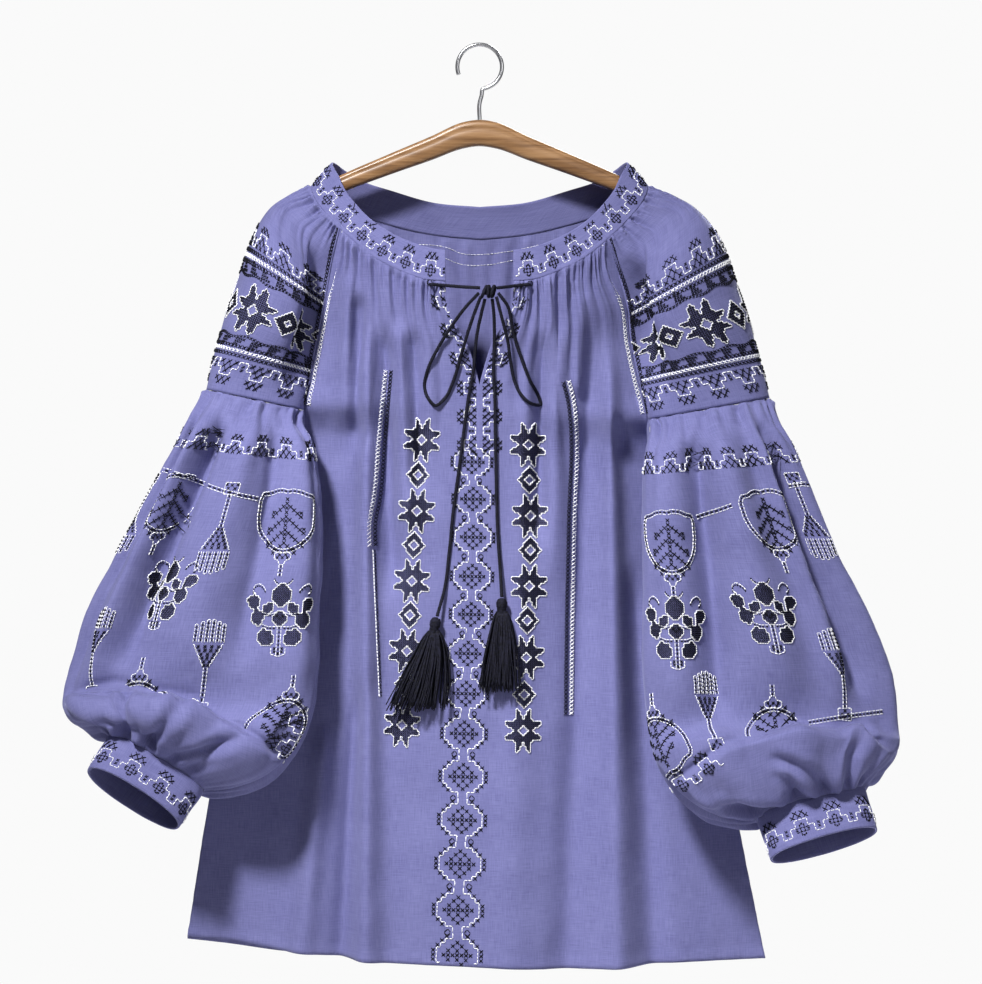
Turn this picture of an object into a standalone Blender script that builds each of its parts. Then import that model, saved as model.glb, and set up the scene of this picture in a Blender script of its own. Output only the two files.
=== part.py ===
"""Embroidered raglan blouse hanging on a wooden hanger, modelled as the pieces that a maker cuts and sews.

Blender 4.5, metres, +Z up. The front of the blouse faces -Y. The origin is the seat of the hanger's hook.
Tables and lengths below are in millimetres, and MM turns them into metres when a mesh is made.
In a sleeve's tables x is measured outward from the middle of the body, so both sleeves share one sense.
"""

import math

import bmesh
import bpy
import numpy as np

MM = 0.001

# Driving sizes, in millimetres
CLOTH_WALL = 1.2
DOUBLE_WALL = 2.0
SEAM_GAP = 0.3
CUFF_HEIGHT = 38.0
CORD_DIAMETER = 2.8
SLIT_BOTTOM_Z = -285.0
CORNER_GAP = 0.015
# The right underarm hangs this much lower than the left one
UNDERARM_DROP = {"left": 0.0, "right": 8.5}
SLIT_HALF_WIDTH = 28.0
HANGER_THICKNESS = 12.0
HOOK_WIRE = 3.4
HOOK_BEND_RADIUS = 17.0
NECK_GATHERS_FRONT = 26
NECK_GATHERS_BACK = 30
NECK_GATHERS_SLEEVE = 12
ELBOW_GATHERS = 16
CUFF_GATHERS = 14

# Neckband: half of the ring, from the front end over the shoulder to the middle of the back
BAND_COLUMNS = ("seam_x", "seam_y", "seam_z", "top_x", "top_y", "top_z")
BAND_STATIONS = (
    (28, -52, -200, 28, -48, -173.7),
    (51, -50, -196.5, 46, -46, -170.5),
    (84, -44, -181.5, 71, -40, -160),
    (108.5, -35.5, -162, 92.5, -33, -145),
    (130, -23, -139.5, 110.5, -21.5, -124),
    (138.5, -12.5, -126.5, 118, -12, -109),
    (141.5, -2, -117.5, 124, -2, -98),
    (137.5, 8.5, -118, 121, 8, -97.5),
    (128, 17.5, -124, 114.5, 16.5, -102),
    (108, 26, -137, 99, 23.5, -111),
    (80, 30.5, -146.5, 75, 27.5, -118.5),
    (41, 33.5, -155.5, 39, 30.5, -128.5),
    (0, 34.5, -159.5, 0, 31.5, -132),
)
HALF_BAND = 12
CREST_STATION = 6
# The band station at which the front and back raglan seams start
RAGLAN_STATION = {"left": {"front": 3.3, "back": 8.5}, "right": {"front": 2.85, "back": 8.5}}

# Edges of the body panels: raglan seams down to the underarm at z -306, then the side seams
EDGE_COLUMNS = ("z", "x_left", "x_right", "x_back", "y_front", "y_back")
BODY_EDGES = (
    (-131, 110, 100, 119, -33, 21.5),
    (-154, 115, 102, 121, -31, 23.5),
    (-180, 122, 110, 125, -26, 24),
    (-212, 128, 121, 130, -21, 21),
    (-250, 135.5, 126, 137, -16, 14),
    (-282, 142, 133, 142, -15, 0),
    (-304, 146, 138.5, 146, -16.2, -11.2),
    (-313, 146.2, 140.1, 146.2, -8.5, -3.2),
    (-322, 147.5, 140.3, 147.5, -1.5, 3.4),
    (-336, 153, 144, 153, 3.5, 7.8),
    (-365, 165, 157, 165, 5.6, 9),
    (-450, 190, 180, 190, 6, 9.4),
    (-629, 227, 213, 227, 6, 9.4),
    (-775, 250, 242, 250, 6, 9.4),
)
# Depth of the panels along the middle of the body
MIDDLE_COLUMNS = ("z", "y_front", "y_back")
BODY_MIDDLE = (
    (-131, -52, 34),
    (-200, -51, 34),
    (-300, -45, 31),
    (-450, -41, 29),
    (-620, -39, 28),
    (-775, -40, 27),
)
HEM_COLUMNS = ("x", "z_front", "z_back")
HEM_LINE = (
    (-250, -747, -748),
    (-208, -748.5, -754),
    (-163, -755.5, -761),
    (-121, -759.5, -763),
    (-87, -763, -765),
    (-11, -766.5, -767),
    (88, -769.5, -769),
    (176, -766, -767),
    (245, -765, -765.5),
)
# Heights, at the panels' edges, of the rows of their meshes
FRONT_ROWS = (-205, -240, -270, -291, -305, -320, -337, -370, -415, -470, -530, -590, -650, -705)
BACK_ROWS = (-230, -265, -291, -305, -320, -337, -385, -450, -540, -640)
# Drape folds of the body. A positive height is a ridge and a negative one a valley.
FOLD_COLUMNS = ("x_top", "z_top", "x_bottom", "z_bottom", "width_top", "width_bottom", "height")
FRONT_FOLDS = (
    (-108, -185, -112, -330, 7, 10, 5),
    (-100, -205, -99, -350, 5, 9, -6),
    (-94, -215, -95, -900, 6, 15, 10),
    (-79, -230, -72, -470, 5, 9, -6),
    (-67, -225, -60, -420, 5, 12, 5),
    (-54, -235, -50, -380, 4, 9, -4),
    (-44, -225, -34, -430, 4, 14, 4),
    (-100, -520, -122, -900, 6, 13, -7),
    (-128, -560, -163, -900, 8, 15, 7),
    (40, -225, 24, -900, 5, 26, 5),
    (52, -235, 48, -420, 4, 9, -5),
    (72, -222, 66, -470, 5, 12, 8),
    (92, -215, 62, -900, 6, 16, -9),
    (108, -240, 118, -900, 6, 17, 9),
    (84, -205, 82, -300, 3, 5, 4),
    (128, -420, 152, -900, 8, 14, -5),
)
BACK_FOLDS = (
    (-88, -190, -120, -900, 6, 22, 4),
    (-52, -200, -62, -900, 6, 20, -4),
    (-16, -200, -10, -900, 6, 22, 4),
    (24, -200, 40, -900, 6, 20, -4),
    (60, -195, 84, -900, 6, 24, 4),
    (96, -185, 140, -900, 6, 20, -3),
)

# Upper sleeve: the front raglan, the outline over the shoulder and the back raglan at each section
SLEEVE_COLUMNS = ("front_z", "outline_x", "outline_y", "outline_z", "back_z")
UPPER_SLEEVE = {
    "left": (
        (-154, 141.5, 0, -117, -131),
        (-170, 160, 0, -125, -150),
        (-190, 177, -1, -137.5, -170),
        (-208, 190, -4, -160, -192),
        (-235, 205, -9, -203, -228),
        (-270, 219, -11, -248, -268),
        (-305.2, 228, -14, -287.9, -305.2),
    ),
    "right": (
        (-168, 141.5, 0, -117, -131),
        (-181, 162, 0, -125, -150),
        (-196, 181, -1, -136.5, -170),
        (-212, 199, -4, -158, -192),
        (-240, 216, -9, -201, -228),
        (-275, 231, -11, -252, -268),
        (-313, 242, -14, -295.1, -313),
    ),
}
# Cross-section of the upper sleeve: share of the width, and depth, over the shoulder and at the drape fold
SECTION_COLUMNS = ("u", "shoulder_w", "shoulder_y", "fold_w", "fold_y")
UPPER_SECTION = (
    (0.00, 0.00, -28, 0.00, -18),
    (0.06, 0.10, -30, 0.13, -15),
    (0.12, 0.22, -31, 0.24, -18),
    (0.16, 0.32, -31, 0.27, -31),
    (0.20, 0.42, -30, 0.215, -44),
    (0.25, 0.54, -28, 0.25, -53),
    (0.32, 0.72, -22, 0.45, -57),
    (0.40, 0.90, -12, 0.72, -49),
    (0.46, 0.985, -5, 0.93, -29),
    (0.50, 1.00, 0, 1.00, -8),
    (0.56, 0.97, 7, 0.95, 12),
    (0.66, 0.78, 17, 0.72, 23),
    (0.78, 0.46, 24, 0.42, 26),
    (0.90, 0.18, 25, 0.16, 23),
    (1.00, 0.00, 24, 0.00, 16),
)
# Lower sleeve: rings from the elbow seam to the cuff seam, angles in degrees.
# Roll lifts the outer side, tilt lifts the front and yaw brings the inner side forward.
RING_COLUMNS = ("x", "y", "z", "half_width", "half_depth", "yaw", "roll", "tilt")
LOWER_SLEEVE = {
    "left": (
        (187.2, -14, -297, 41.8, 28, 0, 12, 0),
        (190.5, -26, -309, 44.5, 26.5, 1, 10, 0),
        (192, -39, -331, 56, 26, 4, 7, 0),
        (201, -44, -372, 71, 27, 7, 3, 0),
        (214, -46, -420, 86, 28, 8, 0, 0),
        (227, -47, -466, 97, 29, 8, 0, 0),
        (235, -48, -513, 104.5, 30, 8, 0, 4),
        (240, -50, -549, 105, 32, 7, 2, 14),
        (243, -60, -568, 97, 42, 6, 6, 25),
        (247, -68, -583, 83, 40, 5, 13, 30),
        (254, -69, -590.5, 63, 31, 3, 25, 33),
        (264.8, -64, -596, 45, 19, 0, 32.5, 32),
    ),
    "right": (
        (191.4, -14, -304.5, 51.4, 28, 0, 10, 0),
        (193.5, -26, -316, 52.5, 26.5, 1, 8.5, 0),
        (196, -39, -337, 60, 26, 4, 6, 0),
        (203, -44, -376, 70, 27, 7, 3, 0),
        (214, -46, -424, 81, 28, 8, 0, 0),
        (226, -47, -472, 93, 29, 8, 0, 0),
        (236, -48, -524, 103, 30, 8, 0, 4),
        (241, -50, -567, 103.5, 32, 7, 0, 14),
        (244, -63, -592, 99, 45, 6, 3, 32),
        (250, -70, -613, 84, 41, 5, 9, 36),
        (260, -69, -624, 65, 31, 3, 15, 25),
        (272, -64, -629, 46, 19, 0, 16, 27),
    ),
}
RING_EXPONENT = 2.25
FOLD_HALF_WIDTH = 9.5
RING_FOLD_WIDTH = 0.03
UNDERARM_GAP = 0.004
# Folds along the lower sleeve: place round the ring, first and last ring, width in turns, height
LOWER_FOLD_COLUMNS = ("u", "u_end", "row_start", "row_end", "width", "height")
LOWER_FOLDS = {
    "left": (
        (0.10, 0.09, 1.2, 7.5, 0.035, 4),
        (0.17, 0.19, 1.2, 6.5, 0.020, -4),
        (0.245, 0.25, 1.2, 7.0, 0.030, 5),
        (0.31, 0.33, 1.2, 6.5, 0.018, -7),
        (0.355, 0.37, 1.2, 7.0, 0.022, 6),
        (0.42, 0.44, 1.2, 7.5, 0.025, -4),
        (0.62, 0.60, 1.2, 7.5, 0.040, 4),
        (0.74, 0.76, 1.2, 7.5, 0.040, -4),
        (0.88, 0.88, 2.0, 7.5, 0.035, 3),
    ),
    "right": (
        (0.12, 0.12, 1.2, 7.5, 0.040, 5),
        (0.205, 0.17, 1.2, 7.5, 0.022, -8),
        (0.255, 0.25, 1.2, 7.0, 0.030, 6),
        (0.335, 0.325, 1.2, 7.0, 0.018, 4),
        (0.375, 0.37, 1.2, 7.0, 0.022, -8),
        (0.44, 0.45, 1.4, 7.5, 0.030, 3),
        (0.62, 0.60, 1.2, 7.5, 0.040, 4),
        (0.74, 0.76, 1.2, 7.5, 0.040, -4),
        (0.88, 0.88, 2.0, 7.5, 0.035, 3),
    ),
}
# Large puffs above the cuff: place round the ring, width in turns, height
PUFF_COLUMNS = ("u", "width", "height")
CUFF_PUFFS = (
    (0.03, 0.035, 6),
    (0.115, 0.035, 9),
    (0.20, 0.025, -5),
    (0.265, 0.035, 9),
    (0.335, 0.022, -4),
    (0.40, 0.035, 5),
    (0.50, 0.035, 4),
    (0.60, 0.030, -4),
    (0.70, 0.040, 5),
    (0.84, 0.040, 4),
)
PUFF_ROW = 8.4
PUFF_SPREAD = 1.35

# Tie cord: x and z of each route, and how far its centre lies in front of the panel
CORD_COLUMNS = ("x", "z", "lift")
KNOT_CENTRE = (7.5, -65.5, -209)
KNOT_RADII = (7.0, 5.2, 5.6)
TAIL_LEFT = (
    (4.47, -215.2, 14),
    (1.0, -229, 9),
    (-1.6, -241, 5.5),
    (-3.5, -256, 3.2),
    (-5, -273, 2.1),
    (-9, -295, 2),
    (-12.5, -320, 2),
    (-17, -355, 2),
    (-21.5, -388, 2),
    (-25, -423, 2),
    (-29, -454, 3),
    (-35.0, -476.1, 8),
)
TAIL_RIGHT = (
    (10.53, -215.2, 14),
    (12, -229, 9),
    (12.3, -241, 5.5),
    (12.2, -256, 3.2),
    (11.5, -273, 2.1),
    (12.7, -296, 2),
    (13, -321, 2),
    (13.6, -350, 2),
    (14.2, -380, 2),
    (15.2, -410, 2),
    (17, -436, 3),
    (18.4, -460.2, 8),
)
LOOP_LEFT = (
    (-0.48, -210.2, 14),
    (-10, -220, 11),
    (-23, -237, 7),
    (-34, -254.5, 4),
    (-43.5, -275, 2.4),
    (-45.5, -285, 2.2),
    (-42.5, -296, 2.1),
    (-36.5, -302, 2),
    (-28.5, -296, 2),
    (-22, -283, 2.4),
    (-15.5, -262, 4.5),
    (-8.8, -240, 9),
    (-3.2, -224, 12.5),
    (1.12, -213.1, 14.3),
)
LOOP_RIGHT = (
    (15.48, -210.2, 14),
    (22.8, -220, 11),
    (28, -243, 5.5),
    (34.5, -263, 3.2),
    (42, -282, 2.8),
    (48.5, -293.5, 2.6),
    (50.5, -301, 2.4),
    (43, -300.5, 2.4),
    (35, -294, 2.5),
    (29.5, -283.5, 3.6),
    (26, -268, 6.4),
    (23, -248, 10.5),
    (18, -229, 14.5),
    (13.88, -213.1, 15),
)
BRIDGE_LEFT = (
    (-41.2, -202.5, 4.8),
    (-39.2, -202.6, 5.8),
    (-34, -202.9, 5.2),
    (-24, -203.8, 5),
    (-12, -205, 9.5),
    (0.35, -205.85, 14),
)
BRIDGE_RIGHT = (
    (41.6, -202.5, 5.2),
    (40, -202.6, 6.2),
    (36, -202.9, 5.4),
    (30, -203.6, 5.2),
    (23, -204.8, 9),
    (14.4, -206.0, 13.6),
)
TASSEL_COLUMNS = ("x", "z", "lift", "lean", "skirt", "spread")
TASSELS = {
    "left": (-35.5, -477, 8, -14, 66, 19),
    "right": (18.5, -461, 8, -2, 66, 13),
}
TASSEL_HEAD_RADIUS = 4.6
TASSEL_HEAD_HEIGHT = 12.0
TASSEL_SECTORS = 8

# Hanger: top line of the right arm and its height there
HANGER_COLUMNS = ("x", "top_z", "height")
HANGER_ARM = (
    (0, -61.5, 22),
    (14, -63.5, 22),
    (40, -75, 20),
    (80, -92, 17),
    (120, -109.8, 14.5),
    (141.5, -121.65, 13),
    (158, -129, 12),
    (168, -135.5, 10),
    (173, -143, 7),
)

COLOURS = {
    "cloth": (0.23, 0.235, 0.50),
    "cord": (0.006, 0.006, 0.013),
    "wood": (0.50, 0.27, 0.11),
    "steel": (0.62, 0.62, 0.64),
}


# Curves through tables

def smooth_curve(knots, values, at):
    """Reads a smooth curve through the rows of values at the places `at` along the knots."""
    knots = np.asarray(knots, float)
    values = np.asarray(values, float)
    if values.ndim == 1:
        return smooth_curve(knots, values[:, None], at)[..., 0]
    at = np.clip(np.asarray(at, float), knots[0], knots[-1])
    slopes = np.gradient(values, knots, axis=0)
    i = np.clip(np.searchsorted(knots, at, side="right") - 1, 0, len(knots) - 2)
    step = knots[i + 1] - knots[i]
    s = ((at - knots[i]) / step)[..., None]
    step = step[..., None]
    return (
        (1 + 2 * s) * (1 - s) ** 2 * values[i]
        + s * (1 - s) ** 2 * step * slopes[i]
        + s * s * (3 - 2 * s) * values[i + 1]
        + s * s * (s - 1) * step * slopes[i + 1]
    )


def column(table, columns, name):
    return np.array([row[columns.index(name)] for row in table], float)


def by_depth(table, columns, name, z):
    """Reads a column of a table whose z runs downward."""
    return smooth_curve(-column(table, columns, "z"), column(table, columns, name), -np.asarray(z, float))


def smoothstep(low, high, x):
    s = np.clip((np.asarray(x, float) - low) / (high - low), 0, 1)
    return s * s * (3 - 2 * s)


# Forms of the cloth: each function returns points of the outer face, in millimetres

def band_point(station, share):
    """The neckband from the left front end, station 0, round the back to the right front end."""
    station = np.asarray(station, float)
    half = np.where(station <= HALF_BAND, station, 2 * HALF_BAND - station)
    rows = np.array(BAND_STATIONS, float)
    read = smooth_curve(np.arange(len(rows)), rows, half)
    share = np.asarray(share, float)[..., None]
    points = read[..., :3] * (1 - share) + read[..., 3:] * share
    points[..., 0] *= np.where(station <= HALF_BAND, -1, 1)
    return points


def band_seam(side, station):
    """The line just below the band on one half, where the gathered cloth is sewn on."""
    station = np.asarray(station, float)
    whole = station if side == "left" else 2 * HALF_BAND - station
    seam = band_point(whole, np.zeros_like(station))
    away = seam - band_point(whole, np.full_like(station, 0.2))
    away /= np.linalg.norm(away, axis=-1, keepdims=True)
    return seam + away * (SEAM_GAP + 0.2)


def band_away(side, station):
    """Direction away from the band at its seam, in the band's own face."""
    station = np.asarray(station, float)
    whole = station if side == "left" else 2 * HALF_BAND - station
    low = np.zeros_like(whole)
    away = band_point(whole, low) - band_point(whole, low + 0.1)
    return away / np.linalg.norm(away, axis=-1, keepdims=True)


def panel_stations(face, side):
    """First and last band station of one half of a panel, just short of the raglan seam."""
    last = RAGLAN_STATION[side][face]
    return (0.0, last - CORNER_GAP) if face == "front" else (float(HALF_BAND), last + CORNER_GAP)


def sleeve_station(side, u):
    """Band station above a place across the top of the upper sleeve, even with the sleeve's own section."""
    ends = RAGLAN_STATION[side]["front"] + CORNER_GAP, RAGLAN_STATION[side]["back"] - CORNER_GAP
    share = smooth_curve(column(UPPER_SECTION, SECTION_COLUMNS, "u"), column(UPPER_SECTION, SECTION_COLUMNS, "shoulder_w"), u)
    found = []
    for end in ends:
        stations = np.linspace(end, CREST_STATION, 60)
        xs = np.abs(band_point(stations, np.zeros(60))[:, 0])
        found.append(np.interp(xs[0] + (xs[-1] - xs[0]) * share, xs, stations))
    return np.where(np.asarray(u) < 0.5, found[0], found[1])


def fold_depth(folds, x, z):
    """Sum of the drape folds at a place on a body panel."""
    total = np.zeros(np.broadcast(x, z).shape)
    for x_top, z_top, x_bottom, z_bottom, width_top, width_bottom, height in folds:
        s = (z_top - z) / (z_top - z_bottom)
        inside = np.clip(s, 0, 1)
        middle = x_top + (x_bottom - x_top) * inside
        width = np.maximum(width_top + (width_bottom - width_top) * inside, FOLD_HALF_WIDTH)
        fade = smoothstep(0, 0.12, s) * (1 - smoothstep(0.8, 1, s))
        total = total + height * fade * np.exp(-(((x - middle) / width) ** 2))
    return total


def edge_x(z, side, face):
    name = "x_back" if face == "back" else "x_" + side
    low = by_depth(BODY_EDGES, EDGE_COLUMNS, "x_" + side, z)
    if face == "front":
        return low
    blend = smoothstep(-320, -290, z)
    return low * (1 - blend) + by_depth(BODY_EDGES, EDGE_COLUMNS, name, z) * blend


def panel_depth(face, x, z):
    """Depth of the front or back panel at a place seen from the front."""
    x, z = np.broadcast_arrays(np.asarray(x, float), np.asarray(z, float))
    wide = np.where(x < 0, edge_x(z, "left", face), edge_x(z, "right", face))
    share = np.clip(np.abs(x) / wide, 0, 1)
    middle = by_depth(BODY_MIDDLE, MIDDLE_COLUMNS, "y_" + face, z)
    drop = np.where(x < 0, UNDERARM_DROP["left"], UNDERARM_DROP["right"])
    edge = by_depth(BODY_EDGES, EDGE_COLUMNS, "y_" + face, z + drop)
    power = 1.55 + 0.9 * smoothstep(-330, -190, z) if face == "front" else 3.0
    base = middle + (edge - middle) * share**power
    room = 1 - smoothstep(0.82, 1.0, share)
    if face == "front":
        return base - fold_depth(FRONT_FOLDS, x, z) * room
    return base + fold_depth(BACK_FOLDS, x, z) * room


def slit_half(z):
    """Half the width of the front opening at a height."""
    return SLIT_HALF_WIDTH * np.clip((np.asarray(z, float) - SLIT_BOTTOM_Z) / (-200 - SLIT_BOTTOM_Z), 0, 1) ** 1.15


def panel_point(face, side, across, down):
    """The front or back panel, from the middle (across 0) to one edge (1) and from the band (down 0) to the hem."""
    across, down = np.broadcast_arrays(np.asarray(across, float), np.asarray(down, float))
    sign = -1 if side == "left" else 1
    start, stop = panel_stations(face, side)
    seam = band_seam(side, start + (stop - start) * across)
    corner = band_seam(side, np.full_like(across, stop))
    middle_top = band_seam(side, np.full_like(across, start))
    hem = "z_" + face
    hem_x = column(HEM_LINE, HEM_COLUMNS, "x")
    hem_z = column(HEM_LINE, HEM_COLUMNS, hem)
    bottom = smooth_curve(hem_x, hem_z, sign * across * 243)
    z = seam[..., 2] * (1 - down) + bottom * down
    edge_z = corner[..., 2] * (1 - down) + smooth_curve(hem_x, hem_z, np.full_like(across, sign * 243)) * down
    middle_z = middle_top[..., 2] * (1 - down) + smooth_curve(hem_x, hem_z, np.zeros_like(across)) * down
    inner = slit_half(middle_z) if face == "front" else np.zeros_like(middle_z)
    inner = np.where(middle_z > SLIT_BOTTOM_Z, np.maximum(inner, SEAM_GAP / 2), 0) if face == "front" else inner
    outer = edge_x(edge_z, side, face) - SEAM_GAP / 2
    x = sign * (inner + (outer - inner) * across)
    settle = smoothstep(0, 0.10, down)
    x = seam[..., 0] * (1 - settle) + x * settle
    settle = smoothstep(0, 0.13, down)
    y = seam[..., 1] * (1 - settle) + panel_depth(face, x, z) * settle
    return np.stack([x, y, z], axis=-1)


def ring_shape(u):
    """Unit ring, from the inner side over the front to the outer side and the back."""
    angle = 2 * np.pi * np.asarray(u, float)
    cosine, sine = np.cos(angle), np.sin(angle)
    power = 2 / RING_EXPONENT
    return -np.sign(cosine) * np.abs(cosine) ** power, -np.sign(sine) * np.abs(sine) ** power


def ring_axes(row):
    """Outward, backward and down axes of a ring, from its yaw, roll and tilt."""
    yaw, roll, tilt = (np.radians(row[..., RING_COLUMNS.index(n)]) for n in ("yaw", "roll", "tilt"))
    outward = np.stack([np.cos(yaw) * np.cos(roll), np.sin(yaw) * np.cos(roll), np.sin(roll)], -1)
    flat_back = np.stack([-np.sin(yaw), np.cos(yaw), np.zeros_like(yaw)], -1)
    up = np.cross(outward, flat_back)
    back = flat_back * np.cos(tilt)[..., None] - up * np.sin(tilt)[..., None]
    return outward, back, -np.cross(outward, back)


def sleeve_sign(side):
    return -1.0 if side == "left" else 1.0


def lower_relief(side, u, row):
    """How far the lower sleeve's folds, puffs and gathers stand out of its rings."""
    total = np.zeros(np.broadcast(u, row).shape)
    for u_start, u_end, row_start, row_end, width, height in LOWER_FOLDS[side]:
        s = np.clip((row - row_start) / (row_end - row_start), 0, 1)
        away = np.abs(u - (u_start + (u_end - u_start) * s))
        away = np.minimum(away, 1 - away)
        fade = smoothstep(row_start - 0.2, row_start + 1.3, row) * (1 - smoothstep(row_end - 1.5, row_end, row))
        total = total + height * fade * np.exp(-((away / max(width, RING_FOLD_WIDTH)) ** 2))
    for place, width, height in CUFF_PUFFS:
        away = np.abs(u - place)
        away = np.minimum(away, 1 - away)
        total = total + height * np.exp(-((away / max(width, RING_FOLD_WIDTH)) ** 2)) * np.exp(-(((row - PUFF_ROW) / PUFF_SPREAD) ** 2)) * (
            1 - smoothstep(10.0, 10.9, row)
        )
    return total


def lower_point(side, u, row):
    """The lower sleeve, u once round from the underarm over the front, row along the rings of its table."""
    u, row = np.broadcast_arrays(np.asarray(u, float), np.asarray(row, float))
    table = np.array(LOWER_SLEEVE[side], float)
    read = smooth_curve(np.arange(len(table)), table, row)
    outward, back, _ = ring_axes(read)
    across, deep = ring_shape(u)
    relief = lower_relief(side, u, row)
    wide = read[..., 3] + relief * 0.6
    thick = read[..., 4] + relief
    points = read[..., :3] + outward * (across * wide)[..., None] + back * (deep * thick)[..., None]
    points[..., 0] *= sleeve_sign(side)
    return points


def cuff_point(side, u, down):
    """The cuff, a tube along the last ring's axis."""
    u, down = np.broadcast_arrays(np.asarray(u, float), np.asarray(down, float))
    last = np.array(LOWER_SLEEVE[side][-1], float)
    outward, back, axis = ring_axes(last)
    across, deep = ring_shape(u)
    wide = last[3] - 1.0 * down
    thick = last[4] + 2.5 * down
    along = SEAM_GAP + (CUFF_HEIGHT - SEAM_GAP) * down
    points = last[:3] + axis * along[..., None] + outward * (across * wide)[..., None] + back * (deep * thick)[..., None]
    points[..., 0] *= sleeve_sign(side)
    return points


def upper_section(side, u, down):
    """A section of the upper sleeve as its table has it, before it is fitted to the band."""
    table = np.array(UPPER_SLEEVE[side], float)
    read = smooth_curve(np.arange(len(table)), table, down * (len(table) - 1))
    front_z, outline_x, outline_y, outline_z, back_z = np.moveaxis(read, -1, 0)
    front_x = edge_x(front_z, side, "front") + SEAM_GAP
    back_x = edge_x(back_z, side, "back") + SEAM_GAP
    front_y = by_depth(BODY_EDGES, EDGE_COLUMNS, "y_front", front_z + UNDERARM_DROP[side])
    back_y = by_depth(BODY_EDGES, EDGE_COLUMNS, "y_back", back_z + UNDERARM_DROP[side])
    shape = np.array(UPPER_SECTION, float)
    read = smooth_curve(shape[:, 0], shape[:, 1:], u)
    fold = smoothstep(0.2, 0.55, down)
    share = read[..., 0] * (1 - fold) + read[..., 2] * fold
    depth = (read[..., 1] * (1 - fold) + read[..., 3] * fold) + (outline_y * (1 - fold))
    ring = np.array(LOWER_SLEEVE[side][0], float)
    across, deep = ring_shape(UNDERARM_GAP + (1 - 2 * UNDERARM_GAP) * u)
    elbow = smoothstep(0.66, 1.0, down)
    share = share * (1 - elbow) + (across + 1) / 2 * elbow
    depth = depth * (1 - elbow) + (ring[1] + ring[4] * deep) * elbow
    near_front = (1 - smoothstep(0, 0.14, u)) * (1 - elbow)
    near_back = smoothstep(0.86, 1, u) * (1 - elbow)
    section_front = (shape[0, 2] * (1 - fold) + shape[0, 4] * fold) + outline_y * (1 - fold)
    section_back = (shape[-1, 2] * (1 - fold) + shape[-1, 4] * fold) + outline_y * (1 - fold)
    depth = depth + near_front * (front_y - section_front) + near_back * (back_y - section_back)
    is_back = smoothstep(0.5, 0.62, u)
    start_x = front_x * (1 - is_back) + back_x * is_back
    start_z = front_z * (1 - is_back) + back_z * is_back
    points = np.stack(
        [start_x + (outline_x - start_x) * share, depth, start_z + (outline_z - start_z) * share], axis=-1
    )
    points[..., 0] *= sleeve_sign(side)
    return points


def upper_point(side, u, down):
    """The raglan upper sleeve, u from the front raglan over the shoulder line (0.5) to the back raglan."""
    u, down = np.broadcast_arrays(np.asarray(u, float), np.asarray(down, float))
    misfit = band_seam(side, sleeve_station(side, u)) - upper_section(side, u, np.zeros_like(u))
    return upper_section(side, u, down) + misfit * (1 - smoothstep(0, 0.35, down))[..., None]


# Walls: an outer and an inner sheet, closed along every free edge

class Wall:
    """Collects rows of points for one piece of cloth and makes a closed wall of them."""

    def __init__(self, surface, wall, facing, seam_normal=None):
        self.surface = surface
        self.seam_normal = seam_normal
        self.wall = wall
        self.facing = facing
        self.keys = {"outer": {}, "inner": {}}
        self.points = []
        self.faces = []

    def normal(self, u, v):
        step = 1e-4
        du = self.surface(u + step, v) - self.surface(u - step, v)
        dv = self.surface(u, v + step) - self.surface(u, v - step)
        normal = np.cross(du, dv) * self.facing
        normal = normal / np.maximum(np.linalg.norm(normal, axis=-1, keepdims=True), 1e-12)
        return normal if self.seam_normal is None else self.seam_normal(u, v, normal)

    def row(self, sheet, v, places, bump=None, owner=None, ring=False):
        """Adds one row of points and returns its (place, index) pairs.

        Points with the same place, height and owner are one point, also between two halves of a piece."""
        places = np.asarray(places, float)
        level = np.full_like(places, v)
        points = self.surface(places, level)
        normals = self.normal(places, level)
        if sheet == "inner":
            points = points - normals * self.wall
        elif bump is not None:
            points = points + normals * bump(places, level)[:, None]
        row = []
        for place, point in zip(places, points):
            spot = place % 1.0 if ring else (0.0 if abs(place) < 1e-3 else place)
            key = (round(float(spot), 6), round(float(v), 6), owner(place) if owner else "")
            if key not in self.keys[sheet]:
                self.keys[sheet][key] = len(self.points)
                self.points.append(point)
            row.append((float(place), self.keys[sheet][key]))
        return row

    def join(self, sheet, upper, lower):
        """Zips two rows, which may have different numbers of points, with triangles."""
        i = j = 0
        while i < len(upper) - 1 or j < len(lower) - 1:
            upper_next = upper[i + 1][0] if i < len(upper) - 1 else math.inf
            lower_next = lower[j + 1][0] if j < len(lower) - 1 else math.inf
            if upper_next <= lower_next:
                face = (upper[i][1], lower[j][1], upper[i + 1][1])
                i += 1
            else:
                face = (upper[i][1], lower[j][1], lower[j + 1][1])
                j += 1
            if len(set(face)) == 3:
                self.faces.append((sheet, face if sheet == "outer" else face[::-1]))

    def sheet(self, sheet, rows):
        for upper, lower in zip(rows[:-1], rows[1:]):
            self.join(sheet, upper, lower)

    def build(self, name, material):
        edges = {}
        for sheet, face in self.faces:
            if sheet == "outer":
                for a, b in zip(face, face[1:] + face[:1]):
                    edges[(a, b)] = True
        outer, inner = self.keys["outer"], self.keys["inner"]
        across = {outer[key]: inner[key] for key in outer if key in inner}
        faces = [face for _, face in self.faces]
        for a, b in edges:
            if (b, a) not in edges:
                faces.append((b, a, across[a]))
                faces.append((b, across[a], across[b]))
        return mesh_object(name, np.array(self.points) * MM, faces, material)


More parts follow.
